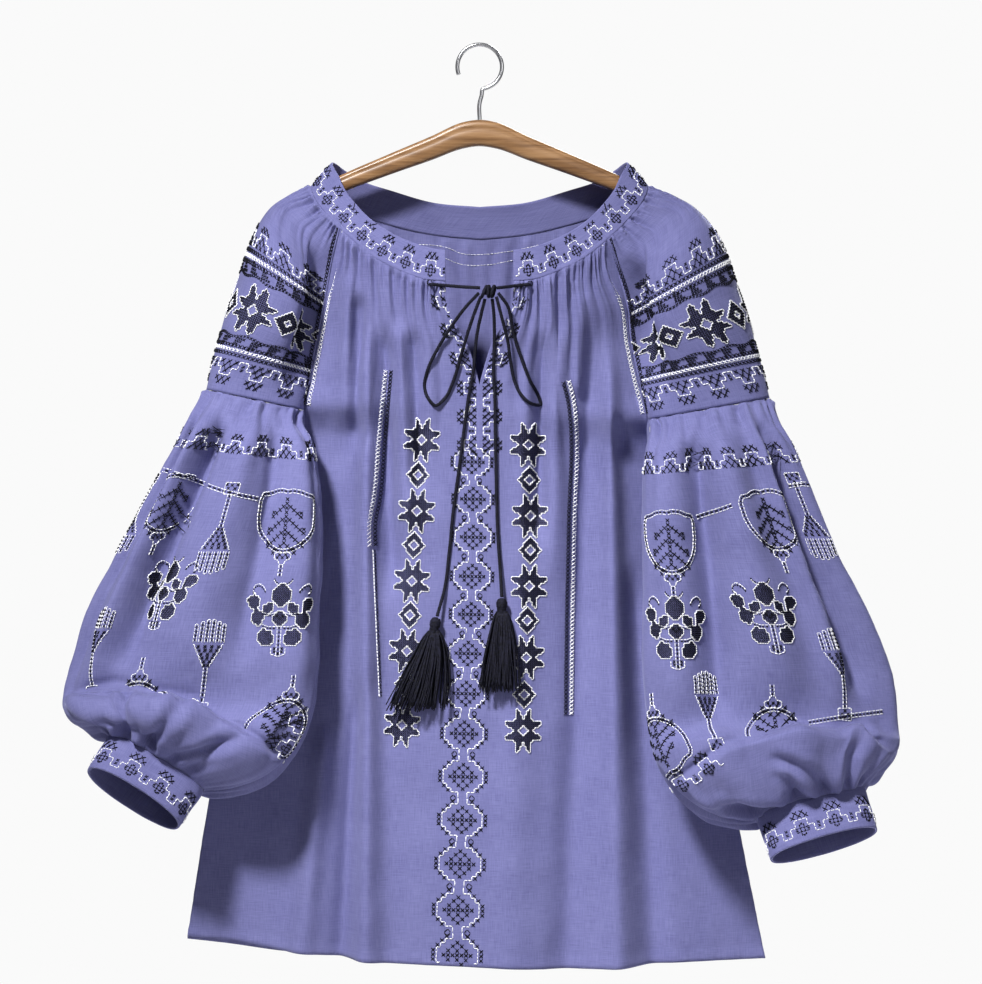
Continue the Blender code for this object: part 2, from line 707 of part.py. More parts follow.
def mesh_object(name, points, faces, material):
    mesh = bpy.data.meshes.new(name)
    mesh.from_pydata([tuple(p) for p in points], [], [tuple(int(i) for i in f) for f in faces])
    work = bmesh.new()
    work.from_mesh(mesh)
    loose = [v for v in work.verts if not v.link_faces]
    bmesh.ops.delete(work, geom=loose, context="VERTS")
    bmesh.ops.recalc_face_normals(work, faces=work.faces)
    work.to_mesh(mesh)
    work.free()
    mesh.shade_smooth()
    mesh.set_sharp_from_angle(angle=math.radians(50))
    mesh.materials.append(material)
    item = bpy.data.objects.new(name, mesh)
    bpy.context.scene.collection.objects.link(item)
    return item


def flat_in(axis, normal):
    """Turns a normal into the plane across an axis."""
    normal = normal - axis * (normal * axis).sum(axis=-1, keepdims=True)
    return normal / np.linalg.norm(normal, axis=-1, keepdims=True)


def ring_seam(side, index):
    """Axis of one ring, turned for the side."""
    axis = ring_axes(np.array(LOWER_SLEEVE[side][index], float))[2]
    return axis * np.array([sleeve_sign(side), 1, 1])


def gather_bump(waves, height, fade):
    """Rounded ridges across a piece, `waves` of them from edge to edge."""

    def bump(u, v):
        return height * fade(v) * (0.5 - 0.5 * np.cos(2 * np.pi * waves * np.abs(u)))

    return bump


# Pieces

def body_panel(name, face, gathers, columns, rows, material):
    """Front or back panel, gathered under the band. The front has a slit down its middle."""

    def surface(u, v):
        left = panel_point(face, "left", np.clip(-u, 0, 1), np.clip(v, 0, 1))
        right = panel_point(face, "right", np.clip(u, 0, 1), np.clip(v, 0, 1))
        return np.where((np.asarray(u) < 0)[..., None], left, right)

    def seam_normal(u, v, normal):
        if v[0] > 0:
            return normal
        start, stop = panel_stations(face, "left" if u[0] < 0 else "right")
        return flat_in(band_away("left" if u[0] < 0 else "right", start + (stop - start) * np.abs(u)), normal)

    wall = Wall(surface, CLOTH_WALL, -1 if face == "front" else 1, seam_normal)
    length = 568.0 if face == "front" else 608.0
    slit = (-200.4 - SLIT_BOTTOM_Z) / 566.4 if face == "front" else -1
    start = 34.0 / length
    corner = 0.5 * sum(float(band_seam(side, panel_stations(face, side)[1])[2]) for side in ("left", "right"))
    levels = [0.0, 9.0 / length, 20.0 / length, start]
    levels += [(z - corner) / (-747 - corner) for z in rows if (z - corner) / (-747 - corner) > start + 0.01] + [1.0]
    if face == "front":
        nearest = min(range(4, len(levels)), key=lambda i: abs(levels[i] - slit))
        levels[nearest] = slit
    fine = 3 * gathers // 2
    bump = gather_bump(gathers / 2, 1.9, lambda v: np.where(v < 0.001, 0.6, 1 - 0.45 * smoothstep(0, start, v)))
    for side, sign in (("left", -1), ("right", 1)):

        def places(count, sign=sign):
            return np.sort(sign * np.maximum(np.linspace(0, 1, count + 1), 1e-5))

        outer, inner = [], []
        for level in levels:
            dense = level < start + 1e-9
            cut = level < slit - 1e-9

            def owner(place, cut=cut, side=side):
                return side if cut or abs(place) > 1e-3 else "shared"

            outer.append(wall.row("outer", level, places(fine if dense else columns), bump if dense else None, owner))
            inner.append(wall.row("inner", level, places(fine if level == 0 else columns), None, owner))
        wall.sheet("outer", outer)
        wall.sheet("inner", inner)
    return wall.build(name, material)


def upper_sleeve(side, material):
    """Raglan upper sleeve, gathered where the band holds it and plain at the elbow seam."""

    def surface(u, v):
        return upper_point(side, np.clip(u, 0, 1), np.clip(v, 0, 1))

    def seam_normal(u, v, normal):
        if v[0] == 0:
            return flat_in(band_away(side, sleeve_station(side, u)), normal)
        return flat_in(ring_seam(side, 0), normal) if v[0] == 1 else normal

    wall = Wall(surface, CLOTH_WALL, 1 if side == "left" else -1, seam_normal)
    levels = [0.0, 0.045, 0.10] + list(np.linspace(0.19, 1, 10))
    shape = np.array([row[0] for row in UPPER_SECTION])
    plain = np.sort(np.concatenate([shape, [0.09, 0.14, 0.18, 0.225, 0.28, 0.61, 0.72]]))
    fine = np.linspace(0, 1, 3 * NECK_GATHERS_SLEEVE + 1)
    bump = gather_bump(NECK_GATHERS_SLEEVE, 1.7, lambda v: np.where(v < 0.001, 0.6, 1 - 0.5 * smoothstep(0, 0.1, v)))
    outer, inner = [], []
    for level in levels:
        dense = level < 0.11
        outer.append(wall.row("outer", level, fine if dense else plain, bump if dense else None))
        inner.append(wall.row("inner", level, fine if level == 0 else plain))
    wall.sheet("outer", outer)
    wall.sheet("inner", inner)
    return wall.build("sleeve_upper_" + side, material)


def lower_sleeve(side, material):
    """Balloon lower sleeve, gathered into the elbow seam and into the cuff."""

    def surface(u, v):
        return lower_point(side, u % 1.0, np.clip(v, 0, RINGS - 1))

    def seam_normal(u, v, normal):
        if v[0] == 0:
            return flat_in(ring_seam(side, 0), normal)
        return flat_in(ring_seam(side, RINGS - 1), normal) if v[0] == RINGS - 1 else normal

    wall = Wall(surface, CLOTH_WALL, 1 if side == "left" else -1, seam_normal)
    top = [0.0, 0.35, 0.8, 1.4]
    middle = [2.0, 2.7, 3.5, 4.3, 5.1, 5.9, 6.6, 7.2, 7.8, 8.4, 9.0]
    bottom = [9.6, 10.1, 10.6, 11.0]
    elbow = np.linspace(0, 1, 3 * ELBOW_GATHERS + 1)
    cuff = np.linspace(0, 1, 3 * CUFF_GATHERS + 1)
    plain = np.linspace(0, 1, 31)
    raised = gather_bump(ELBOW_GATHERS, 2.4, lambda v: np.where(v < 0.01, 0.5, 1 - 0.75 * smoothstep(0.3, 1.6, v)))

    def top_bump(u, v):
        # The gathers are flat at the underarm, where four pieces meet
        return raised(u, v) * smoothstep(0.02, 0.08, np.minimum(u, 1 - u))

    end_bump = gather_bump(CUFF_GATHERS, 2.6, lambda v: np.where(v > 10.99, 0.45, smoothstep(9.0, 10.2, v)))
    outer, inner = [], []
    for level in top + middle + bottom:
        if level in top:
            outer.append(wall.row("outer", level, elbow, top_bump, ring=True))
        elif level in bottom:
            outer.append(wall.row("outer", level, cuff, end_bump, ring=True))
        else:
            outer.append(wall.row("outer", level, plain, ring=True))
        if level not in (0.35, 10.6):
            at = elbow if level == 0 else (cuff if level == 11.0 else plain)
            inner.append(wall.row("inner", level, at, ring=True))
    wall.sheet("outer", outer)
    wall.sheet("inner", inner)
    return wall.build("sleeve_lower_" + side, material)


def cuff(side, material):
    def surface(u, v):
        return cuff_point(side, u % 1.0, v)

    def seam_normal(u, v, normal):
        return flat_in(ring_seam(side, RINGS - 1), normal)

    wall = Wall(surface, DOUBLE_WALL, 1 if side == "left" else -1, seam_normal)
    places = np.linspace(0, 1, 31)
    for sheet in ("outer", "inner"):
        wall.sheet(sheet, [wall.row(sheet, v, places, ring=True) for v in (0.0, 1.0)])
    return wall.build("cuff_" + side, material)


def neckband(material):
    def surface(u, v):
        return band_point(np.clip(u, 0, 1) * 2 * HALF_BAND, np.clip(v, 0, 1))

    wall = Wall(surface, DOUBLE_WALL, -1)
    places = np.linspace(0, 1, 2 * 2 * HALF_BAND + 1)
    for sheet in ("outer", "inner"):
        wall.sheet(sheet, [wall.row(sheet, v, places) for v in (0.0, 1.0)])
    return wall.build("neckband", material)


# Tie, tassels and hanger

def route(points, spacing):
    """Centres of a cord that lies in front of the front panel, and follows it."""
    table = np.array(points, float)
    knots = np.concatenate([[0], np.cumsum(np.linalg.norm(np.diff(table, axis=0), axis=1))])
    count = max(4, int(round(knots[-1] / spacing)) + 1)
    x, z, lift = smooth_curve(knots, table, np.linspace(0, knots[-1], count)).T
    y = np.array([cover_depth(a, c) for a, c in zip(x, z)]) - lift
    return np.stack([x, y, z], axis=-1)


def cover_depth(x, z):
    """Depth of the front panel near its middle; over the slit, of the line between its two edges."""
    half = float(slit_half(z)) if z > SLIT_BOTTOM_Z else 0.0
    reach = max(abs(x), half)
    return float(panel_depth("front", reach if x >= 0 else -reach, z))


def cord(name, path, material):
    """A round cord as a tube with caps."""
    curve = bpy.data.curves.new(name, "CURVE")
    curve.dimensions = "3D"
    curve.bevel_depth = CORD_DIAMETER / 2 * MM
    curve.bevel_resolution = 2
    curve.use_fill_caps = True
    spline = curve.splines.new("POLY")
    spline.points.add(len(path) - 1)
    for i, p in enumerate(path):
        spline.points[i].co = (p[0] * MM, p[1] * MM, p[2] * MM, 1)
        spline.points[i].radius = 1
    curve.materials.append(material)
    item = bpy.data.objects.new(name, curve)
    bpy.context.scene.collection.objects.link(item)
    return item


def lathe(name, profile, sectors, place, lean, material, strands=False):
    """A turned body about a leaning axis. With strands, the lower rings are fluted into separate ends."""
    points, faces = [], []
    cosine, sine = math.cos(lean), math.sin(lean)
    for radius, height, deep in profile:
        for k in range(sectors):
            angle = 2 * math.pi * k / sectors
            r = radius * ((1 - deep) if strands and k % 2 else 1)
            x, y = r * math.cos(angle), r * 0.72 * math.sin(angle)
            points.append((place[0] + x * cosine - height * sine, place[1] + y, place[2] + x * sine + height * cosine))
    rings = len(profile)
    for i in range(rings - 1):
        for k in range(sectors):
            n = (k + 1) % sectors
            faces.append((i * sectors + k, i * sectors + n, (i + 1) * sectors + n, (i + 1) * sectors + k))
    faces.append(tuple(range(sectors))[::-1])
    faces.append(tuple(range((rings - 1) * sectors, rings * sectors)))
    return mesh_object(name, np.array(points) * MM, faces, material)


def tassel(side, material):
    """Tassel head with its skirt of strands, all fused at the head."""
    x, z, lift, lean_x, skirt, spread = TASSELS[side]
    y = cover_depth(x, z) - lift
    points, faces = [], []
    r = TASSEL_HEAD_RADIUS
    head = ((0.25, 0.0), (0.75, -1.0), (1.0, -4.0), (0.95, -7.5), (0.66, -9.5), (0.8, -TASSEL_HEAD_HEIGHT))
    sectors = TASSEL_SECTORS
    slope = lean_x / skirt
    for share, h in head:
        for k in range(sectors):
            angle = 2 * math.pi * k / sectors
            points.append((x + slope * -h + r * share * math.cos(angle), y + r * share * math.sin(angle), z + h))
    for i in range(len(head) - 1):
        for k in range(sectors):
            n = (k + 1) % sectors
            faces.append((i * sectors + k, i * sectors + n, (i + 1) * sectors + n, (i + 1) * sectors + k))
    faces.append(tuple(range(sectors))[::-1])
    base = (len(head) - 1) * sectors
    centre_z = z - TASSEL_HEAD_HEIGHT
    # Strands grow from the facets of the head's lower face: one three-sided strand from each triangle
    rings = [[base + k for k in range(sectors)]]
    for share in (0.62, 0.3):
        start = len(points)
        for k in range(sectors):
            angle = 2 * math.pi * k / sectors
            points.append(
                (
                    x + slope * TASSEL_HEAD_HEIGHT + r * 0.8 * share * math.cos(angle),
                    y + r * 0.8 * share * math.sin(angle),
                    centre_z - 0.6 * (1 - share),
                )
            )
        rings.append(list(range(start, start + sectors)))
    middle = len(points)
    points.append((x + slope * TASSEL_HEAD_HEIGHT, y, centre_z - 0.8))
    roots = []
    for upper, lower in zip(rings[:-1], rings[1:]):
        for k in range(sectors):
            n = (k + 1) % sectors
            roots.append((upper[k], upper[n], lower[n]))
            roots.append((upper[k], lower[n], lower[k]))
    for k in range(sectors):
        roots.append((rings[-1][k], rings[-1][(k + 1) % sectors], middle))
    for number, root in enumerate(roots):
        corners = np.array([points[i] for i in root])
        centre = corners.mean(axis=0)
        out = centre - np.array([x + slope * TASSEL_HEAD_HEIGHT, y, centre_z])
        reach = out[:2] / (r * 0.8)
        length = skirt * (0.96 + 0.04 * math.cos(number * 2.4))
        end = np.array(
            [
                x + slope * TASSEL_HEAD_HEIGHT + lean_x + reach[0] * spread,
                y + 1.5 + reach[1] * spread * 0.3,
                centre_z - length,
            ]
        )
        shift_mid = (centre * 0.45 + end * 0.55)
        shift_mid[:2] += np.array([reach[0] * spread * 0.10, reach[1]])
        shift_mid[2] = centre_z - 0.55 * skirt
        last = root
        size = corners - centre
        for stop, share in ((shift_mid, 0.95), (end, 0.6)):
            start = len(points)
            flat = size.copy()
            flat[:, 2] *= 0.2
            for corner in flat:
                points.append(tuple(stop + corner * share))
            fresh = (start, start + 1, start + 2)
            for a in range(3):
                b = (a + 1) % 3
                faces.append((last[a], last[b], fresh[b]))
                faces.append((last[a], fresh[b], fresh[a]))
            last = fresh
        faces.append(last)
    return mesh_object("tassel_" + side, np.array(points) * MM, faces, material)


def knot(material):
    """The wrapped middle of the bow."""
    centre, radii = np.array(KNOT_CENTRE), np.array(KNOT_RADII)
    around, up = 14, 6
    points, faces = [], []
    for i in range(up + 1):
        phi = math.pi * i / up
        for k in range(around if 0 < i < up else 1):
            a = 2 * math.pi * k / around
            swell = 1 + 0.10 * math.sin(phi) * math.cos(3 * a + 2.0 * phi)
            points.append(
                centre + radii * swell * np.array([math.sin(phi) * math.cos(a), math.sin(phi) * math.sin(a), math.cos(phi)])
            )
    for k in range(around):
        n = (k + 1) % around
        faces.append((0, 1 + k, 1 + n))
        for i in range(up - 2):
            a = 1 + i * around
            faces.append((a + k, a + around + k, a + around + n, a + n))
        last = 1 + (up - 2) * around
        faces.append((last + k, len(points) - 1, last + n))
    return mesh_object("tie_knot", np.array(points) * MM, faces, material)


def hanger_arms(material):
    """Bent wooden bar, rounded in section, from one shoulder end to the other."""
    half = np.array(HANGER_ARM, float)
    whole = np.concatenate([half[:0:-1] * np.array([-1, 1, 1]), half])
    places = np.array([173, 169, 162, 148, 132, 112, 90, 66, 42, 22, 8])
    places = np.concatenate([-places, places[::-1]])
    rows = np.column_stack([places, smooth_curve(whole[:, 0], whole[:, 1:], places)])
    sectors = 12
    points, faces = [], []
    for x, top, height in rows:
        end = min(1.0, 0.55 + (HANGER_ARM[-1][0] - abs(x)) / 14.0)
        for k in range(sectors):
            angle = 2 * math.pi * (k + 0.5) / sectors
            c, s = math.cos(angle), math.sin(angle)
            y = math.copysign(abs(c) ** 0.6, c) * HANGER_THICKNESS / 2 * end
            z = top - height / 2 + math.copysign(abs(s) ** 0.7, s) * height / 2
            points.append((x, y, z))
    for i in range(len(rows) - 1):
        for k in range(sectors):
            n = (k + 1) % sectors
            faces.append((i * sectors + k, i * sectors + n, (i + 1) * sectors + n, (i + 1) * sectors + k))
    faces.append(tuple(range(sectors))[::-1])
    faces.append(tuple(range((len(rows) - 1) * sectors, len(rows) * sectors)))
    return mesh_object("hanger_arms", np.array(points) * MM, faces, material)


def hanger_hook(material):
    """Bent wire hook. Its bend's inner top is the origin, where it hangs on a rail."""
    r = HOOK_BEND_RADIUS + HOOK_WIRE / 2
    path = []
    for angle in range(200, -81, -20):
        a = math.radians(angle)
        path.append((r * math.cos(a), 0, -HOOK_BEND_RADIUS + r * math.sin(a)))
    path += [(1.5, 0, -41.5), (0, 0, -47), (0, 0, HANGER_ARM[0][1] - 0.7)]
    curve = bpy.data.curves.new("hanger_hook", "CURVE")
    curve.dimensions = "3D"
    curve.bevel_depth = HOOK_WIRE / 2 * MM
    curve.bevel_resolution = 2
    curve.use_fill_caps = True
    spline = curve.splines.new("POLY")
    spline.points.add(len(path) - 1)
    for i, p in enumerate(path):
        spline.points[i].co = (p[0] * MM, p[1] * MM, p[2] * MM, 1)
    curve.materials.append(material)
    item = bpy.data.objects.new("hanger_hook", curve)
    bpy.context.scene.collection.objects.link(item)
    return item


def paint(name, colour):
    material = bpy.data.materials.new(name)
    material.use_nodes = True
    shader = material.node_tree.nodes["Principled BSDF"]
    shader.inputs["Base Color"].default_value = (*COLOURS[colour], 1)
    shader.inputs["Roughness"].default_value = 0.8 if colour in ("cloth", "cord") else 0.4
    return material


for old in list(bpy.data.objects):
    bpy.data.objects.remove(old)

RINGS = len(LOWER_SLEEVE["left"])
body_panel("front", "front", NECK_GATHERS_FRONT, 19, FRONT_ROWS, paint("front", "cloth"))
body_panel("back", "back", NECK_GATHERS_BACK, 11, BACK_ROWS, paint("back", "cloth"))
for side in ("left", "right"):
    upper_sleeve(side, paint("sleeve_upper_" + side, "cloth"))
    lower_sleeve(side, paint("sleeve_lower_" + side, "cloth"))
    cuff(side, paint("cuff_" + side, "cloth"))
    tassel(side, paint("tassel_" + side, "cord"))
neckband(paint("neckband", "cloth"))
knot(paint("tie_knot", "cord"))
cord("tie_tail_left", route(TAIL_LEFT, 8.4), paint("tie_tail_left", "cord"))
cord("tie_tail_right", route(TAIL_RIGHT, 8.4), paint("tie_tail_right", "cord"))
cord("tie_loop_left", route(LOOP_LEFT, 8.4), paint("tie_loop_left", "cord"))
cord("tie_loop_right", route(LOOP_RIGHT, 8.4), paint("tie_loop_right", "cord"))
cord("tie_bridge_left", route(BRIDGE_LEFT, 5.5), paint("tie_bridge_left", "cord"))
cord("tie_bridge_right", route(BRIDGE_RIGHT, 5.5), paint("tie_bridge_right", "cord"))
hanger_arms(paint("hanger_arms", "wood"))
hanger_hook(paint("hanger_hook", "steel"))
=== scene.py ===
"""Embroidered raglan blouse on a wooden hanger: its cloth, sewing, embroidery, tie, tassels and hanger.

Blender 4.5, metres, +Z up, front towards -Y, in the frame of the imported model.
Tables and lengths are in millimetres, as in the part's own source, and MM turns them into metres.
In a sleeve's tables x is measured outward from the middle of the body, so both sleeves share one sense.
"""

import math

import bmesh
import bpy
import numpy as np
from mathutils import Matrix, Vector
from mathutils.bvhtree import BVHTree


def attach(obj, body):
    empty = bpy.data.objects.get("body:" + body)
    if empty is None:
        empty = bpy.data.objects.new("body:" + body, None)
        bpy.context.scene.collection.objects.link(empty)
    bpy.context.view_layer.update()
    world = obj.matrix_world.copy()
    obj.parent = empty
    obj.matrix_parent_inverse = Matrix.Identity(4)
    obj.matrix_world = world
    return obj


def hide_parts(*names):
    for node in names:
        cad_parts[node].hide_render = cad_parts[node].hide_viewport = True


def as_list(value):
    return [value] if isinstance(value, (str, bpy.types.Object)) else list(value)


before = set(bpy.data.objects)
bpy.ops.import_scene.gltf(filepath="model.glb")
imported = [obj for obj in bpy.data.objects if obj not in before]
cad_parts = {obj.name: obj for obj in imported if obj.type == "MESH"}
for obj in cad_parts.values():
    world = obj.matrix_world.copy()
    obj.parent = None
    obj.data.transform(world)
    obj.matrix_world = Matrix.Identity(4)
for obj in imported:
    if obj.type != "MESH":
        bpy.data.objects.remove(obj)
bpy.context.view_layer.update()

MM = 0.001

# Driving sizes, in millimetres
SEAM_GAP = 0.3
CUFF_HEIGHT = 38.0
CORD_DIAMETER = 2.8
SLIT_BOTTOM_Z = -285.0
CORNER_GAP = 0.015
# The right underarm hangs this much lower than the left one
UNDERARM_DROP = {"left": 0.0, "right": 8.5}
SLIT_HALF_WIDTH = 28.0
HANGER_THICKNESS = 12.0
HOOK_WIRE = 3.4
HOOK_BEND_RADIUS = 17.0

# Neckband: half of the ring, from the front end over the shoulder to the middle of the back.
# Columns: x, y and z of the seam, then x, y and z of the top edge.
BAND_STATIONS = (
    (28, -52, -200, 28, -48, -173.7),
    (51, -50, -196.5, 46, -46, -170.5),
    (84, -44, -181.5, 71, -40, -160),
    (108.5, -35.5, -162, 92.5, -33, -145),
    (130, -23, -139.5, 110.5, -21.5, -124),
    (138.5, -12.5, -126.5, 118, -12, -109),
    (141.5, -2, -117.5, 124, -2, -98),
    (137.5, 8.5, -118, 121, 8, -97.5),
    (128, 17.5, -124, 114.5, 16.5, -102),
    (108, 26, -137, 99, 23.5, -111),
    (80, 30.5, -146.5, 75, 27.5, -118.5),
    (41, 33.5, -155.5, 39, 30.5, -128.5),
    (0, 34.5, -159.5, 0, 31.5, -132),
)
HALF_BAND = 12
CREST_STATION = 6
# The band station at which the front and back raglan seams start
RAGLAN_STATION = {"left": {"front": 3.3, "back": 8.5}, "right": {"front": 2.85, "back": 8.5}}

# Edges of the body panels: raglan seams down to the underarm at z -306, then the side seams
EDGE_COLUMNS = ("z", "x_left", "x_right", "x_back", "y_front", "y_back")
BODY_EDGES = (
    (-131, 110, 100, 119, -33, 21.5),
    (-154, 115, 102, 121, -31, 23.5),
    (-180, 122, 110, 125, -26, 24),
    (-212, 128, 121, 130, -21, 21),
    (-250, 135.5, 126, 137, -16, 14),
    (-282, 142, 133, 142, -15, 0),
    (-304, 146, 138.5, 146, -16.2, -11.2),
    (-313, 146.2, 140.1, 146.2, -8.5, -3.2),
    (-322, 147.5, 140.3, 147.5, -1.5, 3.4),
    (-336, 153, 144, 153, 3.5, 7.8),
    (-365, 165, 157, 165, 5.6, 9),
    (-450, 190, 180, 190, 6, 9.4),
    (-629, 227, 213, 227, 6, 9.4),
    (-775, 250, 242, 250, 6, 9.4),
)
# Depth of the panels along the middle of the body
MIDDLE_COLUMNS = ("z", "y_front", "y_back")
BODY_MIDDLE = (
    (-131, -52, 34),
    (-200, -51, 34),
    (-300, -45, 31),
    (-450, -41, 29),
    (-620, -39, 28),
    (-775, -40, 27),
)
HEM_COLUMNS = ("x", "z_front", "z_back")
HEM_LINE = (
    (-250, -747, -748),
    (-208, -748.5, -754),
    (-163, -755.5, -761),
    (-121, -759.5, -763),
    (-87, -763, -765),
    (-11, -766.5, -767),
    (88, -769.5, -769),
    (176, -766, -767),
    (245, -765, -765.5),
)
# Drape folds of the body. A positive height is a ridge and a negative one a valley.
# Columns: x and z of the top, x and z of the bottom, width at the top and at the bottom, height.
FRONT_FOLDS = (
    (-108, -185, -112, -330, 7, 10, 5),
    (-100, -205, -99, -350, 5, 9, -6),
    (-94, -215, -95, -900, 6, 15, 10),
    (-79, -230, -72, -470, 5, 9, -6),
    (-67, -225, -60, -420, 5, 12, 5),
    (-54, -235, -50, -380, 4, 9, -4),
    (-44, -225, -34, -430, 4, 14, 1.5),
    (-100, -520, -122, -900, 6, 13, -7),
    (-128, -560, -163, -900, 8, 15, 7),
    (40, -225, 24, -900, 5, 26, 3),
    (52, -235, 48, -420, 4, 9, -5),
    (66, -222, 60, -470, 5, 12, 4),
    (94, -215, 66, -900, 6, 16, -5),
    (108, -240, 118, -900, 6, 17, 9),
    (84, -205, 82, -300, 3, 5, 4),
    (128, -420, 152, -900, 8, 14, -5),
)
BACK_FOLDS = (
    (-88, -190, -120, -900, 6, 22, 4),
    (-52, -200, -62, -900, 6, 20, -4),
    (-16, -200, -10, -900, 6, 22, 4),
    (24, -200, 40, -900, 6, 20, -4),
    (60, -195, 84, -900, 6, 24, 4),
    (96, -185, 140, -900, 6, 20, -3),
)

# Upper sleeve: the front raglan, the outline over the shoulder and the back raglan at each section.
# Columns: z of the front raglan, x, y and z of the outline, z of the back raglan.
UPPER_SLEEVE = {
    "left": (
        (-154, 141.5, 0, -117, -131),
        (-170, 160, 0, -125, -150),
        (-190, 177, -1, -137.5, -170),
        (-208, 190, -4, -160, -192),
        (-235, 205, -9, -203, -228),
        (-270, 219, -11, -248, -268),
        (-305.2, 228, -14, -287.9, -305.2),
    ),
    "right": (
        (-168, 141.5, 0, -117, -131),
        (-181, 162, 0, -125, -150),
        (-196, 181, -1, -136.5, -170),
        (-212, 199, -4, -158, -192),
        (-240, 216, -9, -201, -228),
        (-275, 231, -11, -252, -268),
        (-313, 242, -14, -295.1, -313),
    ),
}
# Cross-section of the upper sleeve: share of the width, and depth, over the shoulder and at the drape fold
SECTION_COLUMNS = ("u", "shoulder_w", "shoulder_y", "fold_w", "fold_y")
UPPER_SECTION = (
    (0.00, 0.00, -28, 0.00, -18),
    (0.06, 0.10, -30, 0.13, -15),
    (0.12, 0.22, -31, 0.24, -18),
    (0.16, 0.32, -31, 0.27, -31),
    (0.20, 0.42, -30, 0.215, -44),
    (0.25, 0.54, -28, 0.25, -53),
    (0.32, 0.72, -22, 0.45, -57),
    (0.40, 0.90, -12, 0.72, -49),
    (0.46, 0.985, -5, 0.93, -29),
    (0.50, 1.00, 0, 1.00, -8),
    (0.56, 0.97, 7, 0.95, 12),
    (0.66, 0.78, 17, 0.72, 23),
    (0.78, 0.46, 24, 0.42, 26),
    (0.90, 0.18, 25, 0.16, 23),
    (1.00, 0.00, 24, 0.00, 16),
)
# Lower sleeve: rings from the elbow seam to the cuff seam, angles in degrees.
# Roll lifts the outer side, tilt lifts the front and yaw brings the inner side forward.
RING_COLUMNS = ("x", "y", "z", "half_width", "half_depth", "yaw", "roll", "tilt")
LOWER_SLEEVE = {
    "left": (
        (187.2, -14, -297, 41.8, 28, 0, 12, 0),
        (190.5, -26, -309, 44.5, 26.5, 1, 10, 0),
        (192, -39, -331, 56, 26, 4, 7, 0),
        (201, -44, -372, 71, 27, 7, 3, 0),
        (214, -46, -420, 86, 28, 8, 0, 0),
        (227, -47, -466, 97, 29, 8, 0, 0),
        (235, -48, -513, 104.5, 30, 8, 0, 4),
        (240, -50, -549, 105, 32, 7, 2, 14),
        (243, -60, -568, 97, 42, 6, 6, 25),
        (247, -68, -583, 83, 40, 5, 13, 30),
        (254, -69, -590.5, 63, 31, 3, 25, 33),
        (264.8, -64, -596, 45, 19, 0, 32.5, 32),
    ),
    "right": (
        (191.4, -14, -304.5, 51.4, 28, 0, 10, 0),
        (193.5, -26, -316, 52.5, 26.5, 1, 8.5, 0),
        (196, -39, -337, 60, 26, 4, 6, 0),
        (203, -44, -376, 70, 27, 7, 3, 0),
        (214, -46, -424, 81, 28, 8, 0, 0),
        (226, -47, -472, 93, 29, 8, 0, 0),
        (236, -48, -524, 103, 30, 8, 0, 4),
        (241, -50, -567, 103.5, 32, 7, 0, 14),
        (244, -63, -592, 99, 45, 6, 3, 32),
        (250, -70, -613, 84, 41, 5, 9, 36),
        (260, -69, -624, 65, 31, 3, 15, 25),
        (272, -64, -629, 46, 19, 0, 16, 27),
    ),
}
RING_EXPONENT = 2.25
FOLD_HALF_WIDTH = 6.5
RING_FOLD_WIDTH = 0.018
FOLD_GAIN = 1.7
RING_FOLD_GAIN = 2.3
UNDERARM_GAP = 0.004
# Folds along the lower sleeve. Columns: place round the ring at the top and at the foot of the fold,
# first and last ring, width in turns, height.
LOWER_FOLDS = {
    "left": (
        (0.10, 0.09, 1.2, 7.5, 0.035, 4),
        (0.17, 0.19, 1.2, 6.5, 0.020, -4),
        (0.245, 0.25, 1.2, 7.0, 0.030, 5),
        (0.31, 0.33, 1.2, 6.5, 0.018, -7),
        (0.355, 0.37, 1.2, 7.0, 0.022, 6),
        (0.42, 0.44, 1.2, 7.5, 0.025, -4),
        (0.62, 0.60, 1.2, 7.5, 0.040, 4),
        (0.74, 0.76, 1.2, 7.5, 0.040, -4),
        (0.88, 0.88, 2.0, 7.5, 0.035, 3),
    ),
    "right": (
        (0.12, 0.12, 1.2, 7.5, 0.040, 5),
        (0.205, 0.17, 1.2, 7.5, 0.022, -8),
        (0.255, 0.25, 1.2, 7.0, 0.030, 6),
        (0.335, 0.325, 1.2, 7.0, 0.018, 4),
        (0.375, 0.37, 1.2, 7.0, 0.022, -8),
        (0.44, 0.45, 1.4, 7.5, 0.030, 3),
        (0.62, 0.60, 1.2, 7.5, 0.040, 4),
        (0.74, 0.76, 1.2, 7.5, 0.040, -4),
        (0.88, 0.88, 2.0, 7.5, 0.035, 3),
    ),
}
# Large puffs above the cuff. Columns: place round the ring, width in turns, height.
CUFF_PUFFS = (
    (0.03, 0.035, 6),
    (0.115, 0.035, 9),
    (0.20, 0.025, -5),
    (0.265, 0.035, 9),
    (0.335, 0.022, -4),
    (0.40, 0.035, 5),
    (0.50, 0.035, 4),
    (0.60, 0.030, -4),
    (0.70, 0.040, 5),
    (0.84, 0.040, 4),
)
PUFF_ROW = 8.4
PUFF_SPREAD = 1.35

